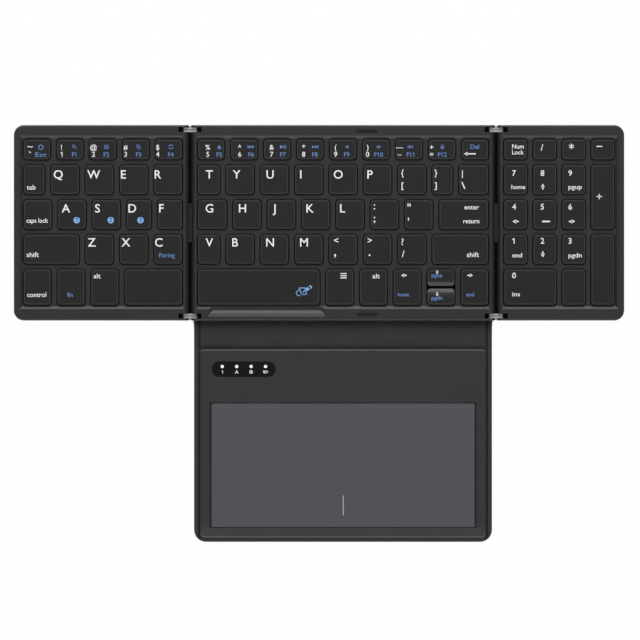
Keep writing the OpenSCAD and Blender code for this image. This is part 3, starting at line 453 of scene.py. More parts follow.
class CoverSettings(PropertyGroup):
    """Shape of the leatherette cover and of the sleeves in the hinge lines."""

    corner: length_property("Corner", "Radius of the two free corners", 6.7)
    edge: length_property("Edge", "Rounding of the cover's edges", 0.3)
    crease: length_property("Crease", "Half of a fold's soft stretch", 1.3)
    dip: length_property("Dip", "How deep a fold line is pressed in", 0.22)
    strips: IntProperty(name="Strips", description="Strips across a fold", default=10, min=4, max=16)
    sleeve_low: length_property("Sleeve, lower half width", "Half of a sleeve's width at its lower edge", 0.2)
    sleeve_high: length_property("Sleeve, upper half width", "Half of a sleeve's width at its top", 1.15)
    sleeve_lift: length_property("Sleeve lift", "From the hinge pins up to a sleeve's lower edge", 0.9)
    cable: length_property("Cable", "Thickness of the flat cables in the hinge lines", 0.2)
    cable_reach: length_property("Cable reach", "From a hinge line to a cable's end, short of the caps", 4.0)


class LightSettings(PropertyGroup):
    """The studio."""

    rear: FloatProperty(name="Rear light", description="Soft box at the back", default=74.0, unit="POWER")
    front: FloatProperty(name="Front light", description="Soft box at the front", default=42.0, unit="POWER")
    overhead: FloatProperty(name="Overhead", description="Strength of the light from above", default=0.03)
    horizon: FloatProperty(name="Horizon", description="Strength of the light from all sides", default=0.3)
    height: FloatProperty(
        name="Camera height", description="Height of the camera over the table", default=2.0, unit="LENGTH"
    )
    view_width: FloatProperty(
        name="View width", description="Width of the table that the picture takes in", default=0.35485,
        unit="LENGTH"
    )


# Materials

def add(tree, kind, settings=None, links=None, out=0):
    """Adds a shader node, sets its properties and sockets, links its inputs and returns an output."""
    node = tree.nodes.new("ShaderNode" + kind)
    for key, value in (settings or {}).items():
        if isinstance(key, int) or key in node.inputs:
            node.inputs[key].default_value = value
        else:
            setattr(node, key, value)
    for key, source in (links or {}).items():
        tree.links.new(source, node.inputs[key])
    return node.outputs[out] if node.outputs else None


def spread(low, high):
    """Settings that spread a noise's usual values over a range."""
    return {"From Min": 0.3, "From Max": 0.7, "To Min": low, "To Max": high}


def blank_finish(name):
    """An empty material under that name: its tree, and the place of a point in the object."""
    material = bpy.data.materials.new(name)
    material.use_nodes = True
    material.node_tree.nodes.clear()
    place = add(material.node_tree, "TexCoord", out="Object")
    finishes[name] = material
    return material.node_tree, place


def paint_light_and_shade(tree, place, shade, bands):
    """Paints light and shade in bands, each of which lies on both sides of the object's middle."""
    for axis, distance, half, share in bands:
        along = add(tree, "SeparateXYZ", {}, {"Vector": place}, axis)
        aside = add(tree, "Math", {"operation": "ABSOLUTE"}, {0: along})
        past = add(tree, "Math", {"operation": "SUBTRACT", 1: distance * MM}, {0: aside})
        off = add(tree, "Math", {"operation": "ABSOLUTE"}, {0: past})
        fade = {"From Min": (1 - BAND_FADE) * half * MM, "From Max": (1 + BAND_FADE) * half * MM}
        part = add(tree, "MapRange", fade | {"To Min": share}, {"Value": off})
        shade = add(tree, "Math", {"operation": "MULTIPLY"}, {0: shade, 1: part})
    return shade


def grained_finish(
    name, colour, grain, cloud, tint, roughness, depth, stretch=(1, 1, 1), bands=(), **surface
):
    """A grain that scatters the light, and a cloudy change of shade by the share tint; sizes in mm."""
    tree, place = blank_finish(name)
    drawn = add(tree, "Mapping", {"Scale": stretch}, {"Vector": place})
    grains = {"Scale": 1 / (grain * MM), "Detail": 3.0, "Roughness": 0.7}
    fine = add(tree, "TexNoise", grains, {"Vector": drawn})
    broad = add(tree, "TexNoise", {"Scale": 1 / (cloud * MM), "Detail": 3.0}, {"Vector": drawn})
    shade = add(tree, "MapRange", spread(1 - tint, 1 + tint), {"Value": broad})
    dull = add(tree, "MapRange", spread(roughness - DULL_SWING, roughness + DULL_SWING), {"Value": fine})
    shade = paint_light_and_shade(tree, place, shade, bands)
    body = add(tree, "HueSaturation", {"Color": colour}, {"Value": shade})
    relief = add(tree, "Bump", {"Distance": depth * MM}, {"Height": fine})
    shader = add(
        tree, "BsdfPrincipled", {k.replace("_", " "): v for k, v in surface.items()},
        {"Base Color": body, "Roughness": dull, "Normal": relief}
    )
    add(tree, "OutputMaterial", links={"Surface": shader})


def leatherette(name, colour):
    """Grained artificial leather: flat pebbles with narrow darker creases, as from an embossing roller."""
    tree, place = blank_finish(name)
    warp = add(tree, "TexNoise", {"Scale": 1 / BEND_WIDTH, "Detail": 2.0}, {"Vector": place}, "Color")
    bent = add(tree, "VectorMath", {"operation": "MULTIPLY_ADD", 1: (BEND,) * 3}, {0: warp, 2: place})
    edges = {"feature": "DISTANCE_TO_EDGE", "Scale": 1 / PEBBLE}
    pebbles = add(tree, "TexVoronoi", edges, {"Vector": bent}, "Distance")
    crown = add(
        tree, "MapRange", {"interpolation_type": "SMOOTHSTEP", "From Max": 0.22}, {"Value": pebbles}
    )
    pores = add(tree, "TexNoise", {"Scale": 1 / PORE, "Detail": 3.0}, {"Vector": place})
    height = add(tree, "Math", {"operation": "MULTIPLY_ADD", 1: 0.3}, {0: pores, 2: crown})
    cloud = add(tree, "TexNoise", {"Scale": 1 / CLOUD, "Detail": 3.0}, {"Vector": place})
    broad = add(tree, "MapRange", spread(0.85, 1.0), {"Value": cloud})
    shade = add(tree, "Math", {"operation": "MULTIPLY_ADD", 1: 0.14}, {0: crown, 2: broad})
    # Painted shade along the housing's sides and painted light in front of it
    shade = paint_light_and_shade(tree, place, shade, COVER_PAINTED_LIGHT)
    body = add(tree, "HueSaturation", {"Color": colour}, {"Value": shade})
    dull = add(tree, "MapRange", spread(0.52, 0.68), {"Value": pores})
    relief = add(tree, "Bump", {"Distance": LEATHER_DEPTH, "Strength": 0.7}, {"Height": height})
    shader = add(
        tree, "BsdfPrincipled", {"Specular IOR Level": 0.35},
        {"Base Color": body, "Roughness": dull, "Normal": relief}
    )
    add(tree, "OutputMaterial", links={"Surface": shader})


def circuit_board(name, colour):
    """Lacquered board: straight copper tracks show faintly through the green."""
    tree, place = blank_finish(name)
    copper = {"Color1": 1.0, "Color2": 1.25, "Mortar": 1.7}
    shades = {name: [share * c for c in colour[:3]] + [1.0] for name, share in copper.items()}
    tracks = add(
        tree, "TexBrick", shades | {"Scale": 1 / (3 * MM), "Mortar Size": 0.03}, {"Vector": place}, "Color"
    )
    waves = add(tree, "TexNoise", {"Scale": 1 / (1.5 * MM), "Detail": 2.0}, {"Vector": place})
    dull = add(tree, "MapRange", {"To Min": 0.3, "To Max": 0.5}, {"Value": waves})
    shader = add(
        tree, "BsdfPrincipled", {"Coat Weight": 0.4, "Coat Roughness": 0.2},
        {"Base Color": tracks, "Roughness": dull}
    )
    add(tree, "OutputMaterial", links={"Surface": shader})


def white_table(name):
    """Paper that the camera, metal and glass see mostly as plain white, with a little of its shadows.

    Where the object covers it, as in the narrow gaps between the panels, only the paper is seen, darkened
    there as painted shade.
    """
    tree, place = blank_finish(name)
    cloud = add(tree, "TexNoise", {"Scale": 2.0}, {"Vector": place})
    dull = add(tree, "MapRange", {"To Min": 0.85, "To Max": 0.95}, {"Value": cloud})
    sky = add(tree, "AmbientOcclusion", {"samples": 16, "Distance": SKY_REACH}, out="AO")
    # Painted shade: the paper's colour darkens where the object covers its sky
    lit = add(tree, "MapRange", OPENING | {"To Min": SHADE_SHARE}, {"Value": sky})
    shown = add(tree, "HueSaturation", {"Color": rgb("#f4f4f4")}, {"Value": lit})
    paper = add(
        tree, "BsdfPrincipled", {"Specular IOR Level": 0.1}, {"Base Color": shown, "Roughness": dull}
    )
    bright = add(tree, "Emission", {"Color": WHITE, "Strength": 1.0})
    seen = add(tree, "LightPath", out="Is Camera Ray")
    for kind in ("Is Glossy Ray", "Is Transmission Ray"):
        seen = add(tree, "Math", {"operation": "MAXIMUM"}, {0: seen, 1: add(tree, "LightPath", out=kind)})
    clear = add(tree, "MapRange", OPENING | {"To Max": WHITE_SHARE}, {"Value": sky})
    share = add(tree, "Math", {"operation": "MULTIPLY"}, {0: seen, 1: clear})
    mixed = add(tree, "MixShader", links={"Fac": share, 1: paper, 2: bright})
    add(tree, "OutputMaterial", links={"Surface": mixed})


def make_finishes(s):
    """All the finishes, each under the name that the pieces ask for.

    The numbers of a grained finish are the widths of its grain and its clouds, its change of shade, its
    roughness and the depth of its relief.
    """
    # Spark-eroded plastic: an even fine grain, and shading that is barely cloudy; the bands are painted light
    # and shade
    for name, colour, bands in (
        ("panel_plastic", s.case, PANEL_PAINTED_SHADE), ("housing_plastic", s.housing, HOUSING_PAINTED_LIGHT),
    ):
        grained_finish(name, colour, 0.22, 14, 0.05, 0.42, 0.01, bands=bands, Specular_IOR_Level=0.55)
    grained_finish("keycap_plastic", s.keycap, 0.16, 9, 0.05, 0.4, 0.006, Specular_IOR_Level=0.5)
    # The same plastic on a cap's rounded edge and sides, spark-eroded more coarsely and rougher; its darker
    # colour is painted shade
    grained_finish("cap_side_painted_shade", s.cap_side, 0.25, 9, 0.05, 0.6, 0.01, Specular_IOR_Level=0.25)
    # The line round a cap's top and the half caps' slopes: a lighter colour that is a painted highlight, a
    # little smoother
    grained_finish("rim_painted_highlight", s.rim, 0.3, 9, 0.04, 0.36, 0.004, Specular_IOR_Level=0.5)
    # Satin glass: a frost too fine to see, which dulls the reflections; its ends are darker as painted shade
    grained_finish(
        "frosted_touch_glass", s.touch, 0.12, 40, 0.02, 0.42, 0.004, bands=PLATE_PAINTED_SHADE, Specular_IOR_Level=0.4
    )
    # Rolled sheet steel: scratches drawn out along the links
    grained_finish("brushed_steel", s.steel, 0.12, 3, 0.08, 0.48, 0.006, stretch=(0.06, 1, 1), Metallic=1.0)
    # Matt rubber with a dusty bloom
    grained_finish(
        "soft_rubber", s.rubber, 0.3, 2.5, 0.12, 0.8, 0.02, Specular_IOR_Level=0.2, Sheen_Weight=0.1
    )
    # Screen-printed inks, slightly mottled
    for name, colour in (
        ("white_print", s.white_ink), ("blue_print", s.blue_ink), ("pale_print", s.pale_ink),
        ("dark_print", rgb("#22364e")), ("grey_print", rgb("#a6a6ad")),
    ):
        grained_finish(name, colour, 0.2, 0.6, 0.04, 0.5, 0.002, Specular_IOR_Level=0.3)
    # Tinted plastic over the lights, with a polishing haze
    grained_finish(
        "smoked_window", rgb("#191919"), 0.6, 6, 0.08, 0.2, 0.001, Specular_IOR_Level=0.4, Coat_Weight=0.2
    )
    # Lamps behind a milky cap: a little light of their own
    grained_finish(
        "milky_lamp", rgb("#e8ecf2"), 0.3, 1, 0.03, 0.4, 0.002, Emission_Color=rgb("#e4ecff"),
        Emission_Strength=0.25
    )
    # The battery's pouch, with soft wrinkles
    grained_finish("battery_foil", rgb("#8d9094"), 7, 4, 0.1, 0.4, 0.15, Metallic=0.7)
    circuit_board("circuit_board", rgb("#1f3a26"))
    leatherette("grained_leatherette", s.cover)


def finish_named(name):
    """A finish that has been made."""
    if name not in finishes:
        raise RuntimeError(f"there is no finish {name}: add the finishes first")
    return finishes[name]


# Meshes

def placed(name, data, at=(0, 0, 0)):
    """A new object in the scene."""
    obj = bpy.data.objects.new(name, data)
    obj.location = at
    bpy.context.scene.collection.objects.link(obj)
    return obj


def piece(bm, name, materials, body=None, nodes=(), sharp=30):
    """Turns a bmesh into an object that rides a body and stands for CAD nodes."""
    mesh = bpy.data.meshes.new(name)
    bmesh.ops.recalc_face_normals(bm, faces=bm.faces)
    bm.to_mesh(mesh)
    bm.free()
    for material in materials:
        mesh.materials.append(finish_named(material))
    mesh.shade_smooth()
    mesh.set_sharp_from_angle(angle=radians(sharp))
    obj = placed(name, mesh)
    if body:
        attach(obj, body)
    if nodes:
        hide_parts(*nodes)
    return obj


def body_of_node(node):
    """The body that a CAD node rides on."""
    bodies = frame["record"]["behaviour"]["bodies"]
    return next(body for body, members in bodies.items() if node in members)


@cache
def solid_boxes(node):
    """The lowest and highest corners of a node's separate solids, from left to right."""
    bm = bmesh.new()
    bm.from_mesh(frame["nodes"][node].data)
    bmesh.ops.remove_doubles(bm, verts=bm.verts, dist=TINY)
    left = set(bm.verts)
    boxes = []
    while left:
        reached = set()
        waiting = [left.pop()]
        while waiting:
            vert = waiting.pop()
            reached.add(vert)
            beyond = {edge.other_vert(vert) for edge in vert.link_edges} & left
            left -= beyond
            waiting += beyond
        boxes.append([Vector([pick(v.co[i] for v in reached) for i in range(3)]) for pick in (min, max)])
    bm.free()
    return sorted(boxes, key=lambda corners: corners[0].x)


def block(bm, low, high):
    """Adds a block between two corners."""
    size = Matrix.Diagonal((*(high - low), 1))
    bmesh.ops.create_cube(bm, size=1.0, matrix=Matrix.Translation((low + high) / 2) @ size)


def bar(bm, matrix):
    """Adds a flat square of side 1 that the matrix stretches and places."""
    bmesh.ops.create_grid(bm, x_segments=1, y_segments=1, size=0.5, matrix=matrix)


def rounded(bm, edges, offset, rings):
    """Rounds edges."""
    bmesh.ops.bevel(
        bm, geom=edges, offset=offset, offset_type="OFFSET", segments=rings, profile=0.5, affect="EDGES",
        clamp_overlap=True, material=-1
    )


def pulled(bm, faces, way):
    """Draws faces out along a way."""
    drawn = bmesh.ops.extrude_face_region(bm, geom=faces)["geom"]
    bmesh.ops.translate(bm, verts=[v for v in drawn if isinstance(v, bmesh.types.BMVert)], vec=way)


def cut_along(bm, point, normal, clear=False):
    """Cuts through along a plane, clears what lies beyond it if that is asked, and returns the cut edges."""
    cut = bmesh.ops.bisect_plane(
        bm, geom=bm.verts[:] + bm.edges[:] + bm.faces[:], plane_co=point, plane_no=normal, clear_outer=clear
    )["geom_cut"]
    return [e for e in cut if isinstance(e, bmesh.types.BMEdge)]


def same_height(verts, z):
    """Whether all these points lie at a height."""
    return all(abs(v.co.z - z) < TINY for v in verts)


def keycap(low, high, s, facing=0):
    """A hollow cap with round corners, a rounded top and a plunger; facing is the side of its slope."""
    bm = bmesh.new()
    block(bm, low, high)
    upright = [e for e in bm.edges if not same_height(e.verts, e.verts[0].co.z)]
    rounded(bm, upright, s.corner, s.rings + 2)
    if facing:
        edge = high.y if facing > 0 else low.y
        tilt = Vector((0, facing * s.facing_height, s.facing_length))
        cut = cut_along(bm, (0, edge, high.z - s.facing_height), tilt, clear=True)
        bmesh.ops.contextual_create(bm, geom=cut)
    bm.normal_update()
    tops = [f for f in bm.faces if f.normal.z > UPWARDS]
    rims = {e for f in tops for e in f.edges if any(other not in tops for other in e.link_faces)}
    rounded(bm, list(rims), s.bevel, s.rings)
    bm.normal_update()
    # The rounding's narrow strips can be as level as the top, so they are told from it by their width
    tops = [
        f for f in bm.faces if f.normal.z > UPWARDS
        and all(max(v.co[i] for v in f.verts) - min(v.co[i] for v in f.verts) > 2 * s.bevel for i in (0, 1))
    ]
    ring = bmesh.ops.inset_region(bm, faces=tops, thickness=s.rim, use_even_offset=True)["faces"]
    slopes = [f for f in tops if f.normal.z < LEVEL]
    # The line round the top and the half caps' slopes take the painted highlight, the rounding and sides the
    # painted shade
    for faces, finish in ((bm.faces, SIDE), (tops, TOP), (ring + slopes, RIM)):
        for face in faces:
            face.material_index = finish
    under = [f for f in bm.faces if same_height(f.verts, low.z)]
    bmesh.ops.inset_region(bm, faces=under, thickness=s.wall, use_even_offset=True)
    hollow = high.z - s.skin - low.z
    pulled(bm, under, (0, 0, hollow))
    reach = hollow - s.plunger_lift + s.skin / 2
    middle = (low + high) / 2
    bmesh.ops.create_cone(
        bm, cap_ends=True, segments=PLUNGER_CORNERS, radius1=s.plunger, radius2=s.plunger, depth=reach,
        matrix=Matrix.Translation((middle.x, middle.y, low.z + s.plunger_lift + reach / 2))
    )
    return bm


def joined(parts):
    """One bmesh out of several."""
    whole = bmesh.new()
    for bm in parts:
        mesh = bpy.data.meshes.new("part")
        bm.to_mesh(mesh)
        bm.free()
        whole.from_mesh(mesh)
        bpy.data.meshes.remove(mesh)
    return whole


# Prints

def lettering(text, bold):
    """A text as a flat bmesh in the font's own size."""
    curve = bpy.data.curves.new("lettering", "FONT")
    curve.body = text
    curve.resolution_u = 3
    curve.offset = bold
    holder = placed("lettering", curve)
    mesh = bpy.data.meshes.new_from_object(holder)
    bpy.data.objects.remove(holder)
    bpy.data.curves.remove(curve)
    bm = bmesh.new()
    bm.from_mesh(mesh)
    bpy.data.meshes.remove(mesh)
    return bm


def flat_text(text, bold):
    """A text as a flat mesh, from its left end and baseline, with its width and its capitals' height."""
    capital = lettering("H", bold)
    height = max(v.co.y for v in capital.verts)
    capital.free()
    bm = lettering(text, bold)
    for i, character in enumerate(text):
        if character == "1":
            part = lettering(text[:i + 1], bold)
            right = max(v.co.x for v in part.verts)
            part.free()
            at = Matrix.Translation((right - ONE_BACK * height, ONE_RISE * height, 0))
            size = Matrix.Diagonal((ONE_LENGTH * height, ONE_WIDTH * height, 1, 1))
            bar(bm, at @ Matrix.Rotation(radians(ONE_SLANT), 4, "Z") @ size)
    xs = [v.co.x for v in bm.verts]
    bmesh.ops.translate(bm, verts=bm.verts, vec=(-min(xs), 0, 0))
    mesh = bpy.data.meshes.new("lettering")
    bm.to_mesh(mesh)
    bm.free()
    return mesh, max(xs) - min(xs), height


def draw_line(bm, place, x, y, end_x, end_y, width):
    """A straight stroke between two points."""
    middle = Matrix.Translation(((x + end_x) / 2, (y + end_y) / 2, 0))
    along = Matrix.Rotation(atan2(end_y - y, end_x - x), 4, "Z")
    bar(bm, place @ middle @ along @ Matrix.Diagonal((hypot(end_x - x, end_y - y), width, 1, 1)))


def draw_disc(bm, place, x, y, radius, corners=ROUND, turn=0, filled=True):
    """A disc, or with few corners a regular shape, and the points of its edge."""
    at = place @ Matrix.Translation((x, y, 0)) @ Matrix.Rotation(radians(turn), 4, "Z")
    return bmesh.ops.create_circle(bm, cap_ends=filled, segments=corners, radius=radius, matrix=at)["verts"]


def draw_wedge(bm, place, x, y, radius, points_to):
    """A triangle that points in a direction."""
    draw_disc(bm, place, x, y, radius, WEDGE, points_to - 90)


def draw_ring(bm, place, x, y, radius):
    """A circle with a wall."""
    rounds = [draw_disc(bm, place, x, y, radius + wall, filled=False) for wall in (RING_WALL, -RING_WALL)]
    edges = {e for verts in rounds for v in verts for e in v.link_edges}
    bmesh.ops.bridge_loops(bm, edges=list(edges))


DRAWN = {"line": draw_line, "disc": draw_disc, "wedge": draw_wedge, "ring": draw_ring}


def spot(node, cap, x, y):
    """A point on a cap's top, in mm from its left edge and its rear or, below zero, front edge."""
    low, high = solid_boxes(node)[cap]
    return Vector((low.x + x * MM, high.y - y * MM if y >= 0 else low.y - y * MM, high.z))


class Prints:
    """Flat lettering and signs, gathered by node and ink, which become thin layers on their surfaces."""

    def __init__(self, settings):
        self.settings = settings
        self.layers = defaultdict(bmesh.new)

    def text(self, node, ink, words, height, at, width=0, centred=False):
        """Sets words with capitals of that height at a point; a width other than 0 stretches them to it."""
        mesh, long, capital = flat_text(words, self.settings.bold)
        tall = height * MM / capital
        wide = width * MM / long if width else tall
        shift = -wide * long / 2 if centred else 0
        mesh.transform(Matrix.Translation(at + Vector((shift, 0, 0))) @ Matrix.Diagonal((wide, tall, 1, 1)))
        self.layers[node, ink].from_mesh(mesh)
        bpy.data.meshes.remove(mesh)

    def sign(self, node, ink, name, height, at, turn=0):
        """Draws a sign of that height round a point."""
        place = Matrix.Translation(at) @ Matrix.Rotation(radians(turn), 4, "Z") @ Matrix.Scale(height * MM, 4)
        for kind, shapes in SIGNS[name].items():
            for shape in shapes:
                DRAWN[kind](self.layers[node, ink], place, *shape)

    def make(self):
        """Gives every layer its thickness and puts it on its body."""
        sink = INK_SUNK * self.settings.ink
        for (node, ink), bm in self.layers.items():
            bmesh.ops.remove_doubles(bm, verts=bm.verts, dist=TINY / 10)
            bmesh.ops.translate(bm, verts=bm.verts, vec=(0, 0, -sink))
            pulled(bm, bm.faces[:], (0, 0, sink + self.settings.ink))
            piece(bm, f"{node}_{ink}", [ink], body_of_node(node), sharp=40)
        self.layers.clear()


# The cover and the sleeves

def cover_piece(s, name, outline, top, fold):
    """A flat piece of leatherette with rounded outer edges, cut into strips across its fold."""
    bm = bmesh.new()
    face = bm.faces.new([bm.verts.new((x, y, 0)) for x, y in outline])
    pulled(bm, [face], (0, 0, top))
    flat_edges = [
        e for e in bm.edges if same_height(e.verts, e.verts[0].co.z)
        and not all(abs(v.co.y - MID_SPINE) < TINY for v in e.verts)
    ]
    rounded(bm, flat_edges, s.edge, EDGE_RINGS)
    for i in range(s.strips + 1):
        cut_along(bm, (0, fold + s.crease * (2 * i / s.strips - 1), 0), (0, 1, 0))
    for vert in bm.verts:
        depth = 1 - abs(vert.co.y - fold) / s.crease
        if depth > 0 and vert.co.z > top / 2:
            vert.co.z -= s.dip * depth * depth * (3 - 2 * depth)
    return piece(bm, name, ["grained_leatherette"], sharp=50)


def quarter(x, y, radius, start, steps=8):
    """Points along a quarter circle that starts in that direction, in degrees."""
    turns = [radians(start + 90 * i / steps) for i in range(steps + 1)]
    return [(x + radius * cos(turn), y + radius * sin(turn)) for turn in turns]


def sleeve(s, side):
    """The dark sleeve in one hinge line, with the flat cable that it covers."""
    name = "left" if side < 0 else "right"
    node = f"{name}_flex_cable"
    low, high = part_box(node)
    middle = side * abs((low.x + high.x) / 2)
    bm = bmesh.new()
    block(
        bm, Vector((middle - s.cable_reach, low.y, low.z)),
        Vector((middle + s.cable_reach, high.y, low.z + s.cable))
    )
    pins_z = low.z + s.cable / 2
    lower = pins_z + s.sleeve_lift
    upper = high.z
    right_half = [(s.sleeve_low, lower), (s.sleeve_high, upper - s.cable), (s.sleeve_high - s.cable, upper)]
    section = right_half + [(-x, z) for x, z in reversed(right_half)]
    start = bm.faces.new([bm.verts.new((middle + x, low.y, z)) for x, z in section])
    pulled(bm, [start], (0, high.y - low.y, 0))
    obj = piece(bm, f"{name}_hinge_sleeve", ["soft_rubber"], f"{name}_link", [node])
    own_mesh(obj)


# Operators

class KEYBOARD_OT_finishes(Operator):
    """Make the finishes and put them on the parts that keep their shape."""

    bl_idname = "keyboard.add_finishes"
    bl_label = "Add finishes"

    def execute(self, context):
        make_finishes(context.scene.keyboard_finishes)
        groups = {
            "panel_plastic": CASE_NODES, "brushed_steel": STEEL_NODES, "soft_rubber": RUBBER_NODES,
            "frosted_touch_glass": ["touchpad_plate"],
        }
        worn = {node: name for name, nodes in groups.items() for node in nodes} | PLAIN_FINISHES
        for node, name in worn.items():
            mesh = frame["nodes"][node].data
            mesh.materials.clear()
            mesh.materials.append(finish_named(name))
        return {"FINISHED"}


class KEYBOARD_OT_keycaps(Operator):
    """Add the keycaps, one object for each row of keys that moves together."""

    bl_idname = "keyboard.add_keycaps"
    bl_label = "Add keycaps"

    def execute(self, context):
        s = context.scene.keyboard_keys
        for node in KEY_NODES:
            caps = joined(keycap(low, high, s, FACING.get(node, 0)) for low, high in solid_boxes(node))
            piece(caps, f"{node}_caps", CAP_FINISHES, body_of_node(node), [node], sharp=42)
        return {"FINISHED"}


class KEYBOARD_OT_legends(Operator):
    """Print the letters, numbers, words and signs on the caps."""

    bl_idname = "keyboard.add_legends"
    bl_label = "Add legends"

    def execute(self, context):
        prints = Prints(context.scene.keyboard_keys)
        for node, cap, letters, start, base, pitch in LETTER_ROWS:
            for i, letter in enumerate(letters):
                prints.text(node, "white_print", letter, LETTER_H, spot(node, cap, start + i * pitch, base))
        for node, cap, shifted, digits, start, pitch in NUMBER_ROWS:
            for base, signs in ((SHIFTED_BASE, shifted), (NUMBER_BASE, digits)):
                for i, sign in enumerate(signs):
                    at = spot(node, cap, start + i * pitch, base)
                    prints.text(node, "white_print", sign, NUMBER_H, at, centred=True)
        for node, cap, signs, number, start, pitch in FUNCTION_ROWS:
            for i, sign in enumerate(signs):
                x = start + i * pitch
                prints.sign(node, "blue_print", sign, FUNCTION_H, spot(node, cap, x, SIGN_MIDDLE))
                at = spot(node, cap, x, NUMBER_BASE)
                prints.text(node, "blue_print", f"F{number + i}", FUNCTION_H, at, centred=True)
        for node, rows in WORDS.items():
            for cap, words, ink, height, x, y, width in rows:
                prints.text(node, f"{ink}_print", words, height, spot(node, cap, x, y), width)
        for node, digits, base in PAD_ROWS:
            for i, digit in enumerate(digits):
                prints.text(node, "white_print", digit, PAD_H, spot(node, i, PAD_STARTS[i], base))
        for node, cap, sign, ink, height, turn, x, y in SIGN_PLACES:
            prints.sign(node, f"{ink}_print", sign, height, spot(node, cap, x, y), turn)
        node = "left_home_row_keys"
        for cap, digit, x in DISCS:
            at = spot(node, cap, x, DISC_Y)
            prints.sign(node, "pale_print", "disc", 2 * DISC_R, at)
            over = at + Vector((0, -DISC_NUMERAL_DROP * MM, INK_OVER * prints.settings.ink))
            prints.text(node, "dark_print", digit, DISC_NUMERAL_H, over, centred=True)
        prints.make()
        return {"FINISHED"}


class KEYBOARD_OT_cover(Operator):
    """Add the leatherette cover, in two pieces cut into strips across its two folds, and the sleeves in the
    hinge lines.
    """

    bl_idname = "keyboard.add_cover"
    bl_label = "Add cover"

    def execute(self, context):
        s = context.scene.keyboard_cover
        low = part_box("cover_flap")[0]
        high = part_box("cover_back")[1]
        left, right, front = low.x, high.x, low.y
        rear_outline = [(left, MID_SPINE), (right, MID_SPINE), (right, high.y), (left, high.y)]
        front_outline = [
            (right, MID_SPINE), (left, MID_SPINE),
            *quarter(left + s.corner, front + s.corner, s.corner, 180),
            *quarter(right - s.corner, front + s.corner, s.corner, 270),
        ]
        rear = cover_piece(s, "cover_rear", rear_outline, high.z, FIRST_FOLD)
        fore = cover_piece(s, "cover_front", front_outline, high.z, SECOND_FOLD)
        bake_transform(rear)
        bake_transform(fore)
        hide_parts("cover_back", "cover_spine")
        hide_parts("cover_spine", "cover_flap")
        for side in (-1, 1):
            sleeve(s, side)
        return {"FINISHED"}


class KEYBOARD_OT_touchpad(Operator):
    """Print the mark on the touch surface and the signs under the four lights."""

    bl_idname = "keyboard.add_touchpad_prints"
    bl_label = "Add touchpad prints"

    def execute(self, context):
        prints = Prints(context.scene.keyboard_keys)
        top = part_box("touchpad_plate")[1].z
        prints.sign("touchpad_plate", "grey_print", "mark", MARK_H, Vector((MARK_X * MM, MARK_Y * MM, top)))
        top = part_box("indicator_window")[1].z
        for i, name in enumerate(LAMP_SIGNS):
            x = (LAMP_X + i * LAMP_PITCH) * MM
            prints.sign("indicator_window", "milky_lamp", "disc", 2 * LAMP_R, Vector((x, LAMP_Y * MM, top)))
            at = Vector((x, LAMP_SIGN_Y * MM, top))
            if name in SIGNS:
                prints.sign("indicator_window", "white_print", name, LAMP_SIGN_H, at)
            else:
                base = at - Vector((0, LAMP_SIGN_H * MM / 2, 0))
                prints.text("indicator_window", "white_print", name, LAMP_SIGN_H, base, centred=True)
        prints.make()
        return {"FINISHED"}


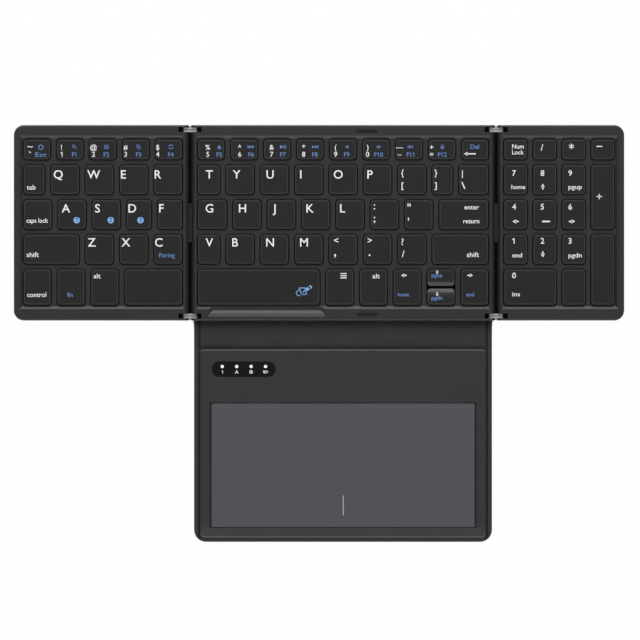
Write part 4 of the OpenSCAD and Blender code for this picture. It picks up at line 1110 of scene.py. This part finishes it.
class KEYBOARD_OT_stage(Operator):
    """Add the table, the soft boxes, the even light and the camera straight above."""

    bl_idname = "keyboard.add_stage"
    bl_label = "Add stage"

    def execute(self, context):
        s = context.scene.keyboard_light
        bm = bmesh.new()
        bar(bm, Matrix.Translation((0, 0, TABLE_Z)) @ Matrix.Scale(TABLE_SIDE, 4))
        white_table("white_table")
        piece(bm, "table", ["white_table"])

        world = bpy.data.worlds.new("studio")
        context.scene.world = world
        world.use_nodes = True
        tree = world.node_tree
        tree.nodes.clear()
        way = add(tree, "TexCoord", out="Generated")
        up = add(tree, "SeparateXYZ", {}, {"Vector": way}, "Z")
        level = add(tree, "MapRange", {"To Min": s.horizon, "To Max": s.overhead}, {"Value": up})
        even = add(tree, "Background", {"Color": WHITE}, {"Strength": level})
        white = add(tree, "Background", {"Color": WHITE, "Strength": 1.0})
        camera_ray = add(tree, "LightPath", out="Is Camera Ray")
        seen = add(tree, "MixShader", links={"Fac": camera_ray, 1: even, 2: white})
        add(tree, "OutputWorld", links={"Surface": seen})

        target = Vector((VIEW_X * MM, VIEW_Y * MM, 0))
        for name, side, power in (("rear_soft_box", 1, s.rear), ("front_soft_box", -1, s.front)):
            lamp = bpy.data.lights.new(name, "AREA")
            lamp.shape = "RECTANGLE"
            lamp.size, lamp.size_y = BOX_SIZE
            lamp.energy = power
            holder = placed(name, lamp, target + Vector((0, side * BOX_AWAY, BOX_HEIGHT)))
            holder.rotation_euler = (target - holder.location).to_track_quat("-Z", "Y").to_euler()

        camera = bpy.data.cameras.new("camera")
        camera.lens = camera.sensor_width * (s.height - KEY_TOP) / s.view_width
        context.scene.camera = placed("camera", camera, target + Vector((0, 0, s.height)))
        context.scene.view_settings.view_transform = "Standard"
        return {"FINISHED"}


STEPS = (
    KEYBOARD_OT_finishes, KEYBOARD_OT_keycaps, KEYBOARD_OT_legends, KEYBOARD_OT_cover, KEYBOARD_OT_touchpad,
    KEYBOARD_OT_stage,
)
SETTINGS = {
    "keyboard_finishes": FinishSettings, "keyboard_keys": KeySettings, "keyboard_cover": CoverSettings,
    "keyboard_light": LightSettings,
}


class KEYBOARD_PT_panel(Panel):
    """Lists the keyboard's settings and the steps that make its pieces."""

    bl_idname = "KEYBOARD_PT_panel"
    bl_label = "Folding keyboard"
    bl_space_type = "VIEW_3D"
    bl_region_type = "UI"
    bl_category = "Keyboard"

    def draw(self, context):
        layout = self.layout
        for name, kind in SETTINGS.items():
            box = layout.box()
            for prop in kind.__annotations__:
                box.prop(getattr(context.scene, name), prop)
        for step in STEPS:
            layout.operator(step.bl_idname)


def register():
    for kind in (*SETTINGS.values(), *STEPS, KEYBOARD_PT_panel):
        bpy.utils.register_class(kind)
    for name, kind in SETTINGS.items():
        setattr(bpy.types.Scene, name, PointerProperty(type=kind))


def unregister():
    for name in SETTINGS:
        delattr(bpy.types.Scene, name)
    for kind in reversed((*SETTINGS.values(), *STEPS, KEYBOARD_PT_panel)):
        bpy.utils.unregister_class(kind)


def main():
    """Registers the add-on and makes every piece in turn."""
    register()
    for step in STEPS:
        group, name = step.bl_idname.split(".")
        getattr(getattr(bpy.ops, group), name)()


if __name__ == "__main__":
    main()
